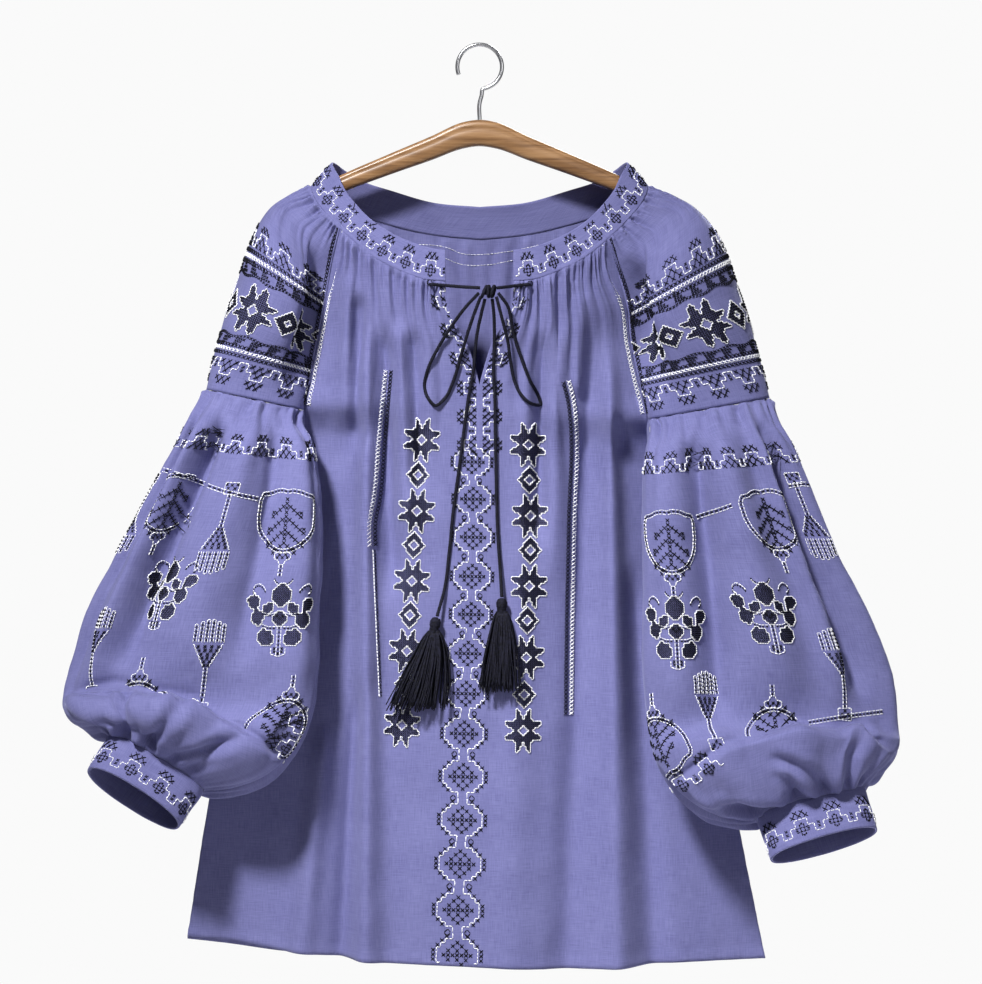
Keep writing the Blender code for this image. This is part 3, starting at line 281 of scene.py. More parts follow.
# Tie cord: x and z of each route, and how far its centre lies in front of the panel
KNOT_CENTRE = (7.5, -65.5, -209)
TAIL_LEFT = (
    (4.47, -215.2, 14),
    (1.0, -229, 9),
    (-1.6, -241, 5.5),
    (-3.5, -256, 3.2),
    (-5, -273, 2.1),
    (-9, -295, 2),
    (-12.5, -320, 2),
    (-17, -355, 2),
    (-21.5, -388, 2),
    (-25, -423, 2),
    (-29, -454, 3),
    (-35.0, -476.1, 8),
)
TAIL_RIGHT = (
    (10.53, -215.2, 14),
    (12, -229, 9),
    (12.3, -241, 5.5),
    (12.2, -256, 3.2),
    (11.5, -273, 2.1),
    (12.7, -296, 2),
    (13, -321, 2),
    (13.6, -350, 2),
    (14.2, -380, 2),
    (15.2, -410, 2),
    (17, -436, 3),
    (18.4, -460.2, 8),
)
LOOP_LEFT = (
    (-0.48, -210.2, 14),
    (-10, -220, 11),
    (-23, -237, 7),
    (-34, -254.5, 4),
    (-43.5, -275, 2.4),
    (-45.5, -285, 2.2),
    (-42.5, -296, 2.1),
    (-36.5, -302, 2),
    (-28.5, -296, 2),
    (-22, -283, 2.4),
    (-15.5, -262, 4.5),
    (-8.8, -240, 9),
    (-3.2, -224, 12.5),
    (1.12, -213.1, 14.3),
)
LOOP_RIGHT = (
    (15.48, -210.2, 14),
    (22.8, -220, 11),
    (28, -243, 5.5),
    (34.5, -263, 3.2),
    (42, -282, 2.8),
    (48.5, -293.5, 2.6),
    (50.5, -301, 2.4),
    (43, -300.5, 2.4),
    (35, -294, 2.5),
    (29.5, -283.5, 3.6),
    (26, -268, 6.4),
    (23, -248, 10.5),
    (18, -229, 14.5),
    (13.88, -213.1, 15),
)
BRIDGE_LEFT = (
    (-41.2, -202.5, 4.8),
    (-39.2, -202.6, 5.8),
    (-34, -202.9, 5.2),
    (-24, -203.8, 5),
    (-12, -205, 9.5),
    (0.35, -205.85, 14),
)
BRIDGE_RIGHT = (
    (41.6, -202.5, 5.2),
    (40, -202.6, 6.2),
    (36, -202.9, 5.4),
    (30, -203.6, 5.2),
    (23, -204.8, 9),
    (14.4, -206.0, 13.6),
)
# Tassels. Columns: x and z of the top, distance in front of the panel, lean, skirt's length and spread.
TASSELS = {
    "left": (-35.5, -477, 8, -14, 66, 19),
    "right": (18.5, -461, 8, -2, 66, 13),
}
TASSEL_HEAD_RADIUS = 4.6
TASSEL_HEAD_HEIGHT = 12.0

# Hanger's right arm. Columns: x, z of the top line, height of the wood there.
HANGER_ARM = (
    (0, -61.5, 22),
    (14, -63.5, 22),
    (40, -75, 20),
    (80, -92, 17),
    (120, -109.8, 14.5),
    (141.5, -121.65, 13),
    (158, -129, 12),
    (168, -135.5, 10),
    (173, -143, 7),
)


# Curves through tables

def smooth_curve(knots, values, at):
    """Reads a smooth curve through the rows of values at the places `at` along the knots."""
    knots = np.asarray(knots, float)
    values = np.asarray(values, float)
    if values.ndim == 1:
        return smooth_curve(knots, values[:, None], at)[..., 0]
    at = np.clip(np.asarray(at, float), knots[0], knots[-1])
    slopes = np.gradient(values, knots, axis=0)
    i = np.clip(np.searchsorted(knots, at, side="right") - 1, 0, len(knots) - 2)
    step = knots[i + 1] - knots[i]
    s = ((at - knots[i]) / step)[..., None]
    step = step[..., None]
    return (
        (1 + 2 * s) * (1 - s) ** 2 * values[i]
        + s * (1 - s) ** 2 * step * slopes[i]
        + s * s * (3 - 2 * s) * values[i + 1]
        + s * s * (s - 1) * step * slopes[i + 1]
    )


def running_length(points):
    """Length along a line of points, from 0 at the first."""
    return np.concatenate([[0.0], np.cumsum(np.linalg.norm(np.diff(points, axis=0), axis=1))])


def column(table, columns, name):
    return np.array([row[columns.index(name)] for row in table], float)


def by_depth(table, columns, name, z):
    """Reads a column of a table whose z runs downward."""
    return smooth_curve(-column(table, columns, "z"), column(table, columns, name), -np.asarray(z, float))


def smoothstep(low, high, x):
    s = np.clip((np.asarray(x, float) - low) / (high - low), 0, 1)
    return s * s * (3 - 2 * s)


# Forms of the cloth: each function returns points of the outer face, in millimetres

def band_point(station, share):
    """The neckband from the left front end, station 0, round the back to the right front end."""
    station = np.asarray(station, float)
    half = np.where(station <= HALF_BAND, station, 2 * HALF_BAND - station)
    rows = np.array(BAND_STATIONS, float)
    read = smooth_curve(np.arange(len(rows)), rows, half)
    share = np.asarray(share, float)[..., None]
    points = read[..., :3] * (1 - share) + read[..., 3:] * share
    points[..., 0] *= np.where(station <= HALF_BAND, -1, 1)
    return points


def band_seam(side, station):
    """The line just below the band on one half, where the gathered cloth is sewn on."""
    station = np.asarray(station, float)
    whole = station if side == "left" else 2 * HALF_BAND - station
    seam = band_point(whole, np.zeros_like(station))
    away = seam - band_point(whole, np.full_like(station, 0.2))
    away /= np.linalg.norm(away, axis=-1, keepdims=True)
    return seam + away * (SEAM_GAP + 0.2)


def panel_stations(face, side):
    """First and last band station of one half of a panel, just short of the raglan seam."""
    last = RAGLAN_STATION[side][face]
    return (0.0, last - CORNER_GAP) if face == "front" else (float(HALF_BAND), last + CORNER_GAP)


def sleeve_station(side, u):
    """Band station above a place across the top of the upper sleeve, even with the sleeve's own section."""
    ends = RAGLAN_STATION[side]["front"] + CORNER_GAP, RAGLAN_STATION[side]["back"] - CORNER_GAP
    places, widths = (column(UPPER_SECTION, SECTION_COLUMNS, name) for name in ("u", "shoulder_w"))
    share = smooth_curve(places, widths, u)
    found = []
    for end in ends:
        stations = np.linspace(end, CREST_STATION, 60)
        xs = np.abs(band_point(stations, np.zeros(60))[:, 0])
        found.append(np.interp(xs[0] + (xs[-1] - xs[0]) * share, xs, stations))
    return np.where(np.asarray(u) < 0.5, found[0], found[1])


def fold_depth(folds, x, z):
    """Sum of the drape folds at a place on a body panel."""
    total = np.zeros(np.broadcast(x, z).shape)
    for x_top, z_top, x_bottom, z_bottom, width_top, width_bottom, height in folds:
        s = (z_top - z) / (z_top - z_bottom)
        inside = np.clip(s, 0, 1)
        middle = x_top + (x_bottom - x_top) * inside
        width = np.maximum(width_top + (width_bottom - width_top) * inside, FOLD_HALF_WIDTH)
        fade = smoothstep(0, 0.12, s) * (1 - smoothstep(0.8, 1, s))
        total = total + height * fade * np.exp(-(((x - middle) / width) ** 2))
    return FOLD_GAIN * total


def edge_x(z, side, face):
    name = "x_back" if face == "back" else "x_" + side
    low = by_depth(BODY_EDGES, EDGE_COLUMNS, "x_" + side, z)
    if face == "front":
        return low
    blend = smoothstep(-320, -290, z)
    return low * (1 - blend) + by_depth(BODY_EDGES, EDGE_COLUMNS, name, z) * blend


def panel_depth(face, x, z):
    """Depth of the front or back panel at a place seen from the front."""
    x, z = np.broadcast_arrays(np.asarray(x, float), np.asarray(z, float))
    wide = np.where(x < 0, edge_x(z, "left", face), edge_x(z, "right", face))
    share = np.clip(np.abs(x) / wide, 0, 1)
    middle = by_depth(BODY_MIDDLE, MIDDLE_COLUMNS, "y_" + face, z)
    drop = np.where(x < 0, UNDERARM_DROP["left"], UNDERARM_DROP["right"])
    edge = by_depth(BODY_EDGES, EDGE_COLUMNS, "y_" + face, z + drop)
    power = 1.55 + 0.9 * smoothstep(-330, -190, z) if face == "front" else 3.0
    base = middle + (edge - middle) * share**power
    room = 1 - smoothstep(0.82, 1.0, share)
    if face == "front":
        return base - fold_depth(FRONT_FOLDS, x, z) * room
    return base + fold_depth(BACK_FOLDS, x, z) * room


def slit_half(z):
    """Half the width of the front opening at a height."""
    return SLIT_HALF_WIDTH * np.clip((np.asarray(z, float) - SLIT_BOTTOM_Z) / (-200 - SLIT_BOTTOM_Z), 0, 1) ** 1.15


def panel_point(face, side, across, down):
    """The front or back panel, from the middle (across 0) to one edge (1), and from the band to the hem."""
    across, down = np.broadcast_arrays(np.asarray(across, float), np.asarray(down, float))
    sign = -1 if side == "left" else 1
    start, stop = panel_stations(face, side)
    seam = band_seam(side, start + (stop - start) * across)
    corner = band_seam(side, np.full_like(across, stop))
    middle_top = band_seam(side, np.full_like(across, start))
    hem = "z_" + face
    hem_x = column(HEM_LINE, HEM_COLUMNS, "x")
    hem_z = column(HEM_LINE, HEM_COLUMNS, hem)
    bottom = smooth_curve(hem_x, hem_z, sign * across * 243)
    z = seam[..., 2] * (1 - down) + bottom * down
    edge_z = corner[..., 2] * (1 - down) + smooth_curve(hem_x, hem_z, np.full_like(across, sign * 243)) * down
    middle_z = middle_top[..., 2] * (1 - down) + smooth_curve(hem_x, hem_z, np.zeros_like(across)) * down
    inner = slit_half(middle_z) if face == "front" else np.zeros_like(middle_z)
    inner = np.where(middle_z > SLIT_BOTTOM_Z, np.maximum(inner, SEAM_GAP / 2), 0) if face == "front" else inner
    outer = edge_x(edge_z, side, face) - SEAM_GAP / 2
    x = sign * (inner + (outer - inner) * across)
    settle = smoothstep(0, 0.10, down)
    x = seam[..., 0] * (1 - settle) + x * settle
    settle = smoothstep(0, 0.13, down)
    y = seam[..., 1] * (1 - settle) + panel_depth(face, x, z) * settle
    return np.stack([x, y, z], axis=-1)


def ring_shape(u):
    """Unit ring, from the inner side over the front to the outer side and the back."""
    angle = 2 * np.pi * np.asarray(u, float)
    cosine, sine = np.cos(angle), np.sin(angle)
    power = 2 / RING_EXPONENT
    return -np.sign(cosine) * np.abs(cosine) ** power, -np.sign(sine) * np.abs(sine) ** power


def ring_axes(row):
    """Outward, backward and down axes of a ring, from its yaw, roll and tilt."""
    yaw, roll, tilt = (np.radians(row[..., RING_COLUMNS.index(n)]) for n in ("yaw", "roll", "tilt"))
    outward = np.stack([np.cos(yaw) * np.cos(roll), np.sin(yaw) * np.cos(roll), np.sin(roll)], -1)
    flat_back = np.stack([-np.sin(yaw), np.cos(yaw), np.zeros_like(yaw)], -1)
    up = np.cross(outward, flat_back)
    back = flat_back * np.cos(tilt)[..., None] - up * np.sin(tilt)[..., None]
    return outward, back, -np.cross(outward, back)


def sleeve_sign(side):
    return -1.0 if side == "left" else 1.0


def lower_relief(side, u, row):
    """How far the lower sleeve's folds, puffs and gathers stand out of its rings."""
    total = np.zeros(np.broadcast(u, row).shape)
    for u_start, u_end, row_start, row_end, width, height in LOWER_FOLDS[side]:
        s = np.clip((row - row_start) / (row_end - row_start), 0, 1)
        away = np.abs(u - (u_start + (u_end - u_start) * s))
        away = np.minimum(away, 1 - away)
        fade = smoothstep(row_start - 0.2, row_start + 1.3, row) * (1 - smoothstep(row_end - 1.5, row_end, row))
        total = total + RING_FOLD_GAIN * height * fade * np.exp(-((away / max(width, RING_FOLD_WIDTH)) ** 2))
    for place, width, height in CUFF_PUFFS:
        away = np.abs(u - place)
        away = np.minimum(away, 1 - away)
        along = np.exp(-(((row - PUFF_ROW) / PUFF_SPREAD) ** 2))
        ridge = height * np.exp(-((away / max(width, RING_FOLD_WIDTH)) ** 2))
        total = total + ridge * along * (1 - smoothstep(10.0, 10.9, row))
    return total


def lower_point(side, u, row):
    """The lower sleeve, u once round from the underarm over the front, row along the rings of its table."""
    u, row = np.broadcast_arrays(np.asarray(u, float), np.asarray(row, float))
    table = np.array(LOWER_SLEEVE[side], float)
    read = smooth_curve(np.arange(len(table)), table, row)
    outward, back, _ = ring_axes(read)
    across, deep = ring_shape(u)
    relief = lower_relief(side, u, row)
    wide = read[..., 3] + relief * 0.6
    thick = read[..., 4] + relief
    points = read[..., :3] + outward * (across * wide)[..., None] + back * (deep * thick)[..., None]
    points[..., 0] *= sleeve_sign(side)
    return points


def cuff_point(side, u, down):
    """The cuff, a tube along the last ring's axis."""
    u, down = np.broadcast_arrays(np.asarray(u, float), np.asarray(down, float))
    last = np.array(LOWER_SLEEVE[side][-1], float)
    outward, back, axis = ring_axes(last)
    across, deep = ring_shape(u)
    wide = last[3] - 1.0 * down
    thick = last[4] + 2.5 * down
    along = SEAM_GAP + (CUFF_HEIGHT - SEAM_GAP) * down
    points = last[:3] + axis * along[..., None] + outward * (across * wide)[..., None]
    points = points + back * (deep * thick)[..., None]
    points[..., 0] *= sleeve_sign(side)
    return points


def upper_section(side, u, down):
    """A section of the upper sleeve as its table has it, before it is fitted to the band."""
    table = np.array(UPPER_SLEEVE[side], float)
    read = smooth_curve(np.arange(len(table)), table, down * (len(table) - 1))
    front_z, outline_x, outline_y, outline_z, back_z = np.moveaxis(read, -1, 0)
    front_x = edge_x(front_z, side, "front") + SEAM_GAP
    back_x = edge_x(back_z, side, "back") + SEAM_GAP
    front_y = by_depth(BODY_EDGES, EDGE_COLUMNS, "y_front", front_z + UNDERARM_DROP[side])
    back_y = by_depth(BODY_EDGES, EDGE_COLUMNS, "y_back", back_z + UNDERARM_DROP[side])
    shape = np.array(UPPER_SECTION, float)
    read = smooth_curve(shape[:, 0], shape[:, 1:], u)
    fold = smoothstep(0.2, 0.55, down)
    share = read[..., 0] * (1 - fold) + read[..., 2] * fold
    depth = (read[..., 1] * (1 - fold) + read[..., 3] * fold) + (outline_y * (1 - fold))
    ring = np.array(LOWER_SLEEVE[side][0], float)
    across, deep = ring_shape(UNDERARM_GAP + (1 - 2 * UNDERARM_GAP) * u)
    elbow = smoothstep(0.66, 1.0, down)
    share = share * (1 - elbow) + (across + 1) / 2 * elbow
    depth = depth * (1 - elbow) + (ring[1] + ring[4] * deep) * elbow
    near_front = (1 - smoothstep(0, 0.14, u)) * (1 - elbow)
    near_back = smoothstep(0.86, 1, u) * (1 - elbow)
    section_front = (shape[0, 2] * (1 - fold) + shape[0, 4] * fold) + outline_y * (1 - fold)
    section_back = (shape[-1, 2] * (1 - fold) + shape[-1, 4] * fold) + outline_y * (1 - fold)
    depth = depth + near_front * (front_y - section_front) + near_back * (back_y - section_back)
    is_back = smoothstep(0.5, 0.62, u)
    start_x = front_x * (1 - is_back) + back_x * is_back
    start_z = front_z * (1 - is_back) + back_z * is_back
    points = np.stack(
        [start_x + (outline_x - start_x) * share, depth, start_z + (outline_z - start_z) * share], axis=-1
    )
    points[..., 0] *= sleeve_sign(side)
    return points


def upper_point(side, u, down):
    """The raglan upper sleeve, u from the front raglan over the shoulder line (0.5) to the back raglan."""
    u, down = np.broadcast_arrays(np.asarray(u, float), np.asarray(down, float))
    misfit = band_seam(side, sleeve_station(side, u)) - upper_section(side, u, np.zeros_like(u))
    return upper_section(side, u, down) + misfit * (1 - smoothstep(0, 0.35, down))[..., None]


# Cloth: thin closed sheets with finer folds than the solids carry

RINGS = len(LOWER_SLEEVE["left"])
SHEET_WALL = 0.7
SIDES = ("left", "right")


def gathers(share, distance, seed, count, height, reach):
    """Uneven gathers held by a seam: rounded ridges with narrow valleys, each fading at its own distance."""
    draw = np.random.default_rng(seed)
    edges = np.concatenate([[0.0], np.cumsum(draw.uniform(0.55, 1.45, count))])
    edges /= edges[-1]
    heights = draw.uniform(0.55, 1.15, count) * height
    reaches = draw.uniform(0.5, 1.5, count) * reach
    phase = np.interp(share, edges, np.arange(count + 1.0))
    cell = np.clip(np.floor(phase).astype(int), 0, count - 1)
    ridge = (0.5 - 0.5 * np.cos(2 * np.pi * (phase - cell))) ** 0.6
    raised = heights[cell] * ridge * np.exp(-np.abs(distance / reaches[cell]) ** 1.6)
    return raised - 0.5 * height * np.exp(-np.abs(distance / reach) ** 1.6)


def ripple(x, y, scale, seed, waves=14):
    """Soft unevenness: a sum of waves about `scale` long, mostly between -1 and 1."""
    draw = np.random.default_rng(seed)
    total = np.zeros(np.broadcast(x, y).shape)
    for _ in range(waves):
        angle = draw.uniform(0, 2 * np.pi)
        k = 2 * np.pi / (scale * draw.uniform(0.7, 1.6))
        total = total + np.sin(k * (x * np.cos(angle) + y * np.sin(angle)) + draw.uniform(0, 2 * np.pi))
    return total / waves**0.5


def grid_normals(points):
    across = np.gradient(points, axis=1)
    down = np.gradient(points, axis=0)
    normal = np.cross(across, down)
    return normal / np.maximum(np.linalg.norm(normal, axis=-1, keepdims=True), 1e-12)


def grid_faces(index):
    return np.stack([index[:-1, :-1], index[:-1, 1:], index[1:, 1:], index[1:, :-1]], -1).reshape(-1, 4)


def rim_faces(outer, inner):
    """Strip between an outer edge and an inner one with half as many points."""
    a, b, c = outer[:-1:2], outer[1::2], outer[2::2]
    d, e = inner[:-1], inner[1:]
    return np.concatenate([np.stack([a, b, d], -1), np.stack([b, e, d], -1), np.stack([b, c, e], -1)])


def valley_room(lift):
    """How much deeper than its own place each inner point must lie to stay behind the valleys beside it."""
    padded = np.pad(lift, 1, mode="edge")
    rows, columns = lift.shape
    low = np.min([padded[i : i + rows, j : j + columns] for i in range(3) for j in range(3)], axis=0)
    return (lift - low)[::2, ::2]


def cloth(name, surface, runs, rows, facing, relief, flat_map, material, ring=False, split=0, wall=SHEET_WALL):
    """A thin closed sheet over surface(u, v), raised by relief(u, v, points) along its normal.

    runs are one or two lists of u. With two, they are apart above row `split` and joined below it."""
    grids = []
    for run in runs:
        u, v = np.meshgrid(run, rows)
        points = surface(u, v)
        grids.append([u, v, points, grid_normals(points) * facing])
    if ring:
        normal = grids[0][3]
        seam = normal[:, 0] + normal[:, -1]
        normal[:, 0] = normal[:, -1] = seam / np.linalg.norm(seam, axis=-1, keepdims=True)
    if len(grids) == 2:
        seam = grids[0][3][split:, -1] + grids[1][3][split:, 0]
        seam /= np.linalg.norm(seam, axis=-1, keepdims=True)
        grids[0][3][split:, -1] = grids[1][3][split:, 0] = seam
    sheets = []
    for u, v, points, normal in grids:
        lift = relief(u, v, points)
        raised = points + normal * lift[..., None]
        sheets.append([raised, normal, flat_map(u, v, points), wall + valley_room(lift)])
    if ring:
        out = sheets[0][0]
        out[:, 0] = out[:, -1] = (out[:, 0] + out[:, -1]) / 2
        deep = sheets[0][3]
        deep[:, 0] = deep[:, -1] = np.maximum(deep[:, 0], deep[:, -1])
    if len(sheets) == 2:
        middle = (sheets[0][0][split:, -1] + sheets[1][0][split:, 0]) / 2
        sheets[0][0][split:, -1] = sheets[1][0][split:, 0] = middle
        deep = [sheets[0][3][split // 2 :, -1], sheets[1][3][split // 2 :, 0]]
        deep[0][:] = deep[1][:] = np.maximum(*deep)
    points, flats, quads, rims = [], [], [], []
    count = 0
    for number, (out, normal, flat, deep) in enumerate(sheets):
        inside = out[::2, ::2] - normal[::2, ::2] * deep[..., None]
        outer = count + np.arange(out[..., 0].size).reshape(out.shape[:2])
        count += outer.size
        inner = count + np.arange(inside[..., 0].size).reshape(inside.shape[:2])
        count += inner.size
        points += [out.reshape(-1, 3), inside.reshape(-1, 3)]
        flats += [flat.reshape(-1, 2), flat[::2, ::2].reshape(-1, 2)]
        quads += [grid_faces(outer), grid_faces(inner)[:, ::-1]]
        rims += [rim_faces(outer[0], inner[0]), rim_faces(outer[-1], inner[-1])]
        if not ring:
            first, last = len(rows), len(rows)
            if len(sheets) == 2:
                first, last = (len(rows), split + 1) if number == 0 else (split + 1, len(rows))
            rims.append(rim_faces(outer[:first, 0], inner[: (first + 1) // 2, 0]))
            rims.append(rim_faces(outer[:last, -1], inner[: (last + 1) // 2, -1]))
    return sheet_mesh(name, *(np.concatenate(group) for group in (points, flats, quads, rims)), material)


def sheet_mesh(name, points, flats, quads, rims, material):
    """Joins points that coincide, and makes the mesh with its flat map."""
    rounded = np.round(points * 1000).astype(np.int64)
    _, first, found = np.unique(rounded, axis=0, return_index=True, return_inverse=True)
    found = found.reshape(-1)
    faces, corners = [], []
    for block in (quads, rims):
        joined = found[block]
        whole = np.ones(len(joined), bool)
        for a in range(block.shape[1]):
            for b in range(a):
                whole &= joined[:, a] != joined[:, b]
        faces += joined[whole].tolist()
        corners.append(block[whole].reshape(-1))
    mesh = bpy.data.meshes.new(name)
    mesh.from_pydata((points[first] * MM).tolist(), [], faces)
    layer = mesh.uv_layers.new(name="cloth")
    layer.data.foreach_set("uv", (flats[np.concatenate(corners)] * MM).astype(np.float32).reshape(-1))
    turn_outward(mesh)
    return added(name, mesh, material)


def turn_outward(mesh):
    work = bmesh.new()
    work.from_mesh(mesh)
    bmesh.ops.recalc_face_normals(work, faces=work.faces)
    work.to_mesh(mesh)
    work.free()


def added(name, mesh, material):
    mesh.shade_smooth()
    mesh.materials.append(material)
    item = bpy.data.objects.new(name, mesh)
    bpy.context.scene.collection.objects.link(item)
    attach(item, "root")
    return item


PICTURE_MIDDLE = (479.5, 42.0)
PICTURE_SCALE = 0.83


def seen(px, py):
    """x and z, in millimetres, of a place in the photograph's frame."""
    return (px - PICTURE_MIDDLE[0]) * PICTURE_SCALE, -(py - PICTURE_MIDDLE[1]) * PICTURE_SCALE


def odd(start, stop, count):
    return np.linspace(start, stop, 2 * (count // 2) + 1)


def odd_rows(rows):
    return rows if len(rows) % 2 else np.insert(rows, 1, rows[1] / 2)


def eased_rows(dense, length, start_step, step):
    """Rows from 0 to 1 down a piece: `start_step` mm apart over the first `dense` mm, then `step` mm."""
    first = np.arange(0, dense, start_step)
    rest = np.linspace(dense, length, int((length - dense) / step) + 1)
    return np.concatenate([ALLOWANCE, odd_rows(np.concatenate([first, rest]))]) / length


# Body panels

PANEL_LENGTH = {"front": 568.0, "back": 608.0}
UPPER_LENGTH = 185.0
HEM_DEPTH = 8.5
SLIT_TOP_Z = -200.4
SLIT_TO_HEM = 566.4
# Columns of the sheets' meshes, for a half of the front and for the whole of the others
FRONT_COLUMNS = 134
BACK_COLUMNS = 190
UPPER_COLUMNS = 170
LOWER_COLUMNS = 212
# Rows of a sleeve's mesh in the dense stretch at its top and in those after it
UPPER_ROWS = (40, 72)
LOWER_ROWS = (36, 52, 82)
BAND_WALL = 1.6
# Gathers held by each seam, from the shortest to the longest. Columns: count, height, reach from the seam.
BODY_GATHERS = ((15, 4.4, 26), (23, 2.8, 17), (11, 3.4, 48), (8, 2.8, 105), (5, 2.4, 230))
UPPER_GATHERS = ((26, 4.0, 20), (17, 4.0, 36), (9, 2.6, 70))
ELBOW_GATHERS = ((22, 4.2, 20), (15, 4.4, 50), (9, 3.6, 120))
CUFF_GATHERS = ((17, 4.2, 26), (11, 6.0, 55), (7, 5.0, 105))


def shirring(distance, lines=(9.0, 17.5)):
    """Elastic threads hold the gathers flat along these lines below the seam."""
    held = np.zeros(np.shape(distance))
    for line in lines:
        held = held + np.exp(-(((distance - line) / 1.9) ** 2))
    return 1 - 0.25 * np.clip(held, 0, 1)


ALLOWANCE = (-5.0, -1.0)


def tucked(points, distance):
    """Carries rows above the seam straight on, as the allowance that lies inside the band."""
    way = points[len(ALLOWANCE) :][:1] - points[len(ALLOWANCE) + 1 :][:1]
    way = way / np.maximum(np.linalg.norm(way, axis=-1, keepdims=True), 1e-9)
    return points + way * np.clip(-distance, 0, None)[..., None]


def sunk(total, distance):
    return np.where(distance < 0, -0.45, total)


def panel_surface(face):
    def surface(u, v):
        left = panel_point(face, "left", np.clip(-u, 0, 1), np.clip(v, 0, 1))
        right = panel_point(face, "right", np.clip(u, 0, 1), np.clip(v, 0, 1))
        return tucked(np.where((u < 0)[..., None], left, right), v * PANEL_LENGTH[face])

    return surface


def panel_relief(face):
    length = PANEL_LENGTH[face]
    seed = 11 if face == "front" else 31

    def relief(u, v, points):
        share = np.abs(u)
        distance = v * length
        x, z = points[..., 0], points[..., 2]
        total = np.zeros(share.shape)
        for number, row in enumerate(BODY_GATHERS):
            left = gathers(share, distance, seed + number, *row)
            right = gathers(share, distance, seed + 40 + number, *row)
            total = total + np.where(u < 0, left, right) * (shirring(distance) if number < 2 else 1)
        if face == "front":
            total = total * (0.15 + 0.85 * smoothstep(0, 6, distance)) * smoothstep(0, 0.05, share)
            total = total * (1 - 0.5 * (1 - smoothstep(0.2, 0.45, share)) * smoothstep(15, 40, distance))
            total = total * (1 + 0.3 * smoothstep(0.3, 0.5, share) * (1 - smoothstep(30, 80, distance)))
        else:
            total = total * (0.05 + 0.95 * smoothstep(1, 10, distance)) * smoothstep(0, 0.05, share)
        total = total + 0.35 * ripple(x, z, 60, seed + 5) * smoothstep(20, 60, distance)
        total = total + 0.10 * ripple(x, z * 0.6, 17, seed + 6) * smoothstep(10, 40, distance)
        edge = smoothstep(0.985, 1.0, share)
        pucker = 0.35 * ripple(x * 0.1, z, 11, seed + 7) * smoothstep(0.955, 0.985, share)
        total = total * (1 - 0.85 * edge) + pucker
        up = (1 - v) * length
        hem = 0.55 * (1 - smoothstep(HEM_DEPTH - 1.2, HEM_DEPTH, up))
        hem = hem - 0.35 * np.exp(-(((up - HEM_DEPTH) / 0.9) ** 2))
        hem = hem + 0.25 * ripple(x, z * 0.1, 13, seed + 8) * np.exp(-((up / 12) ** 2))
        return sunk(total + hem, distance)

    return relief


def panel_map(u, v, points):
    return np.stack([points[..., 0] + 500, points[..., 2] + 900], -1)


def body_cloth(face, material):
    if face == "front":
        rows = eased_rows(60, PANEL_LENGTH["front"], 1.6, 3.2)
        # A row of points lies exactly at the slit's foot, where the two halves start to be joined
        level = (SLIT_TOP_Z - SLIT_BOTTOM_Z) / SLIT_TO_HEM
        split = 2 * (int(np.argmin(np.abs(rows - level))) // 2)
        rows[split] = level
        runs = [odd(-1, -1e-5, FRONT_COLUMNS), odd(1e-5, 1, FRONT_COLUMNS)]
        facing = -1
    else:
        rows = eased_rows(50, PANEL_LENGTH["back"], 2.2, 6.5)
        split = 0
        runs = [odd(-1, 1, BACK_COLUMNS)]
        facing = 1
    return cloth(
        "cloth_" + face, panel_surface(face), runs, rows, facing, panel_relief(face), panel_map, material, split=split
    )


# Sleeves

def arc_map(u, v, points):
    """Flat coordinates from the length of each row and the mean length down the piece."""
    wide = np.linalg.norm(np.diff(points, axis=1), axis=-1).sum(axis=1)[:, None]
    step = np.linalg.norm(np.diff(points, axis=0), axis=-1).mean(axis=1)
    down = np.concatenate([[0.0], np.cumsum(step)])[:, None]
    return np.stack([(u - 0.3) * wide + 500, down + 0 * u + 100], -1)


def ring_distance(side):
    """Distance down the sleeve from the elbow seam at each ring."""
    table = np.array(LOWER_SLEEVE[side], float)
    return running_length(table[:, :3])


# Crest of the puff that hangs over each cuff, as places in the photograph's frame
PUFF_CREST = {
    "left": ((60, 700), (90, 690), (120, 683), (155, 690), (200, 697), (245, 722), (270, 740), (330, 800)),
    "right": (
        (640, 800), (672, 778), (691, 762), (718, 740), (753, 731), (792, 719), (828, 728), (855, 722),
        (880, 744), (920, 760),
    ),
}


def below_crest(side, x, z):
    """How far a place lies below the puff's crest, as the viewer sees it."""
    line = np.array([seen(*place) for place in PUFF_CREST[side]])
    return np.interp(x, line[:, 0], line[:, 1]) - z


# Valleys between the crumpled folds of each puff, from their open ends to the cuff, in the same frame
PUFF_VALLEYS = {
    "left": (
        ((136, 684), (134, 704), (137, 732)),
        ((139, 704), (150, 724), (164, 740)),
        ((198, 692), (172, 718), (159, 734)),
        ((258, 726), (219, 741), (184, 748), (174, 754)),
    ),
    "right": (
        ((861, 722), (843, 750), (837, 782)),
        ((755, 748), (781, 754), (799, 764), (817, 780)),
        ((775, 762), (793, 790)),
        ((680, 801), (727, 802), (775, 801), (786, 795)),
        ((882, 752), (852, 784)),
    ),
}
VALLEY_DEPTH = 5.0
PUFF_HEIGHT = 7.0


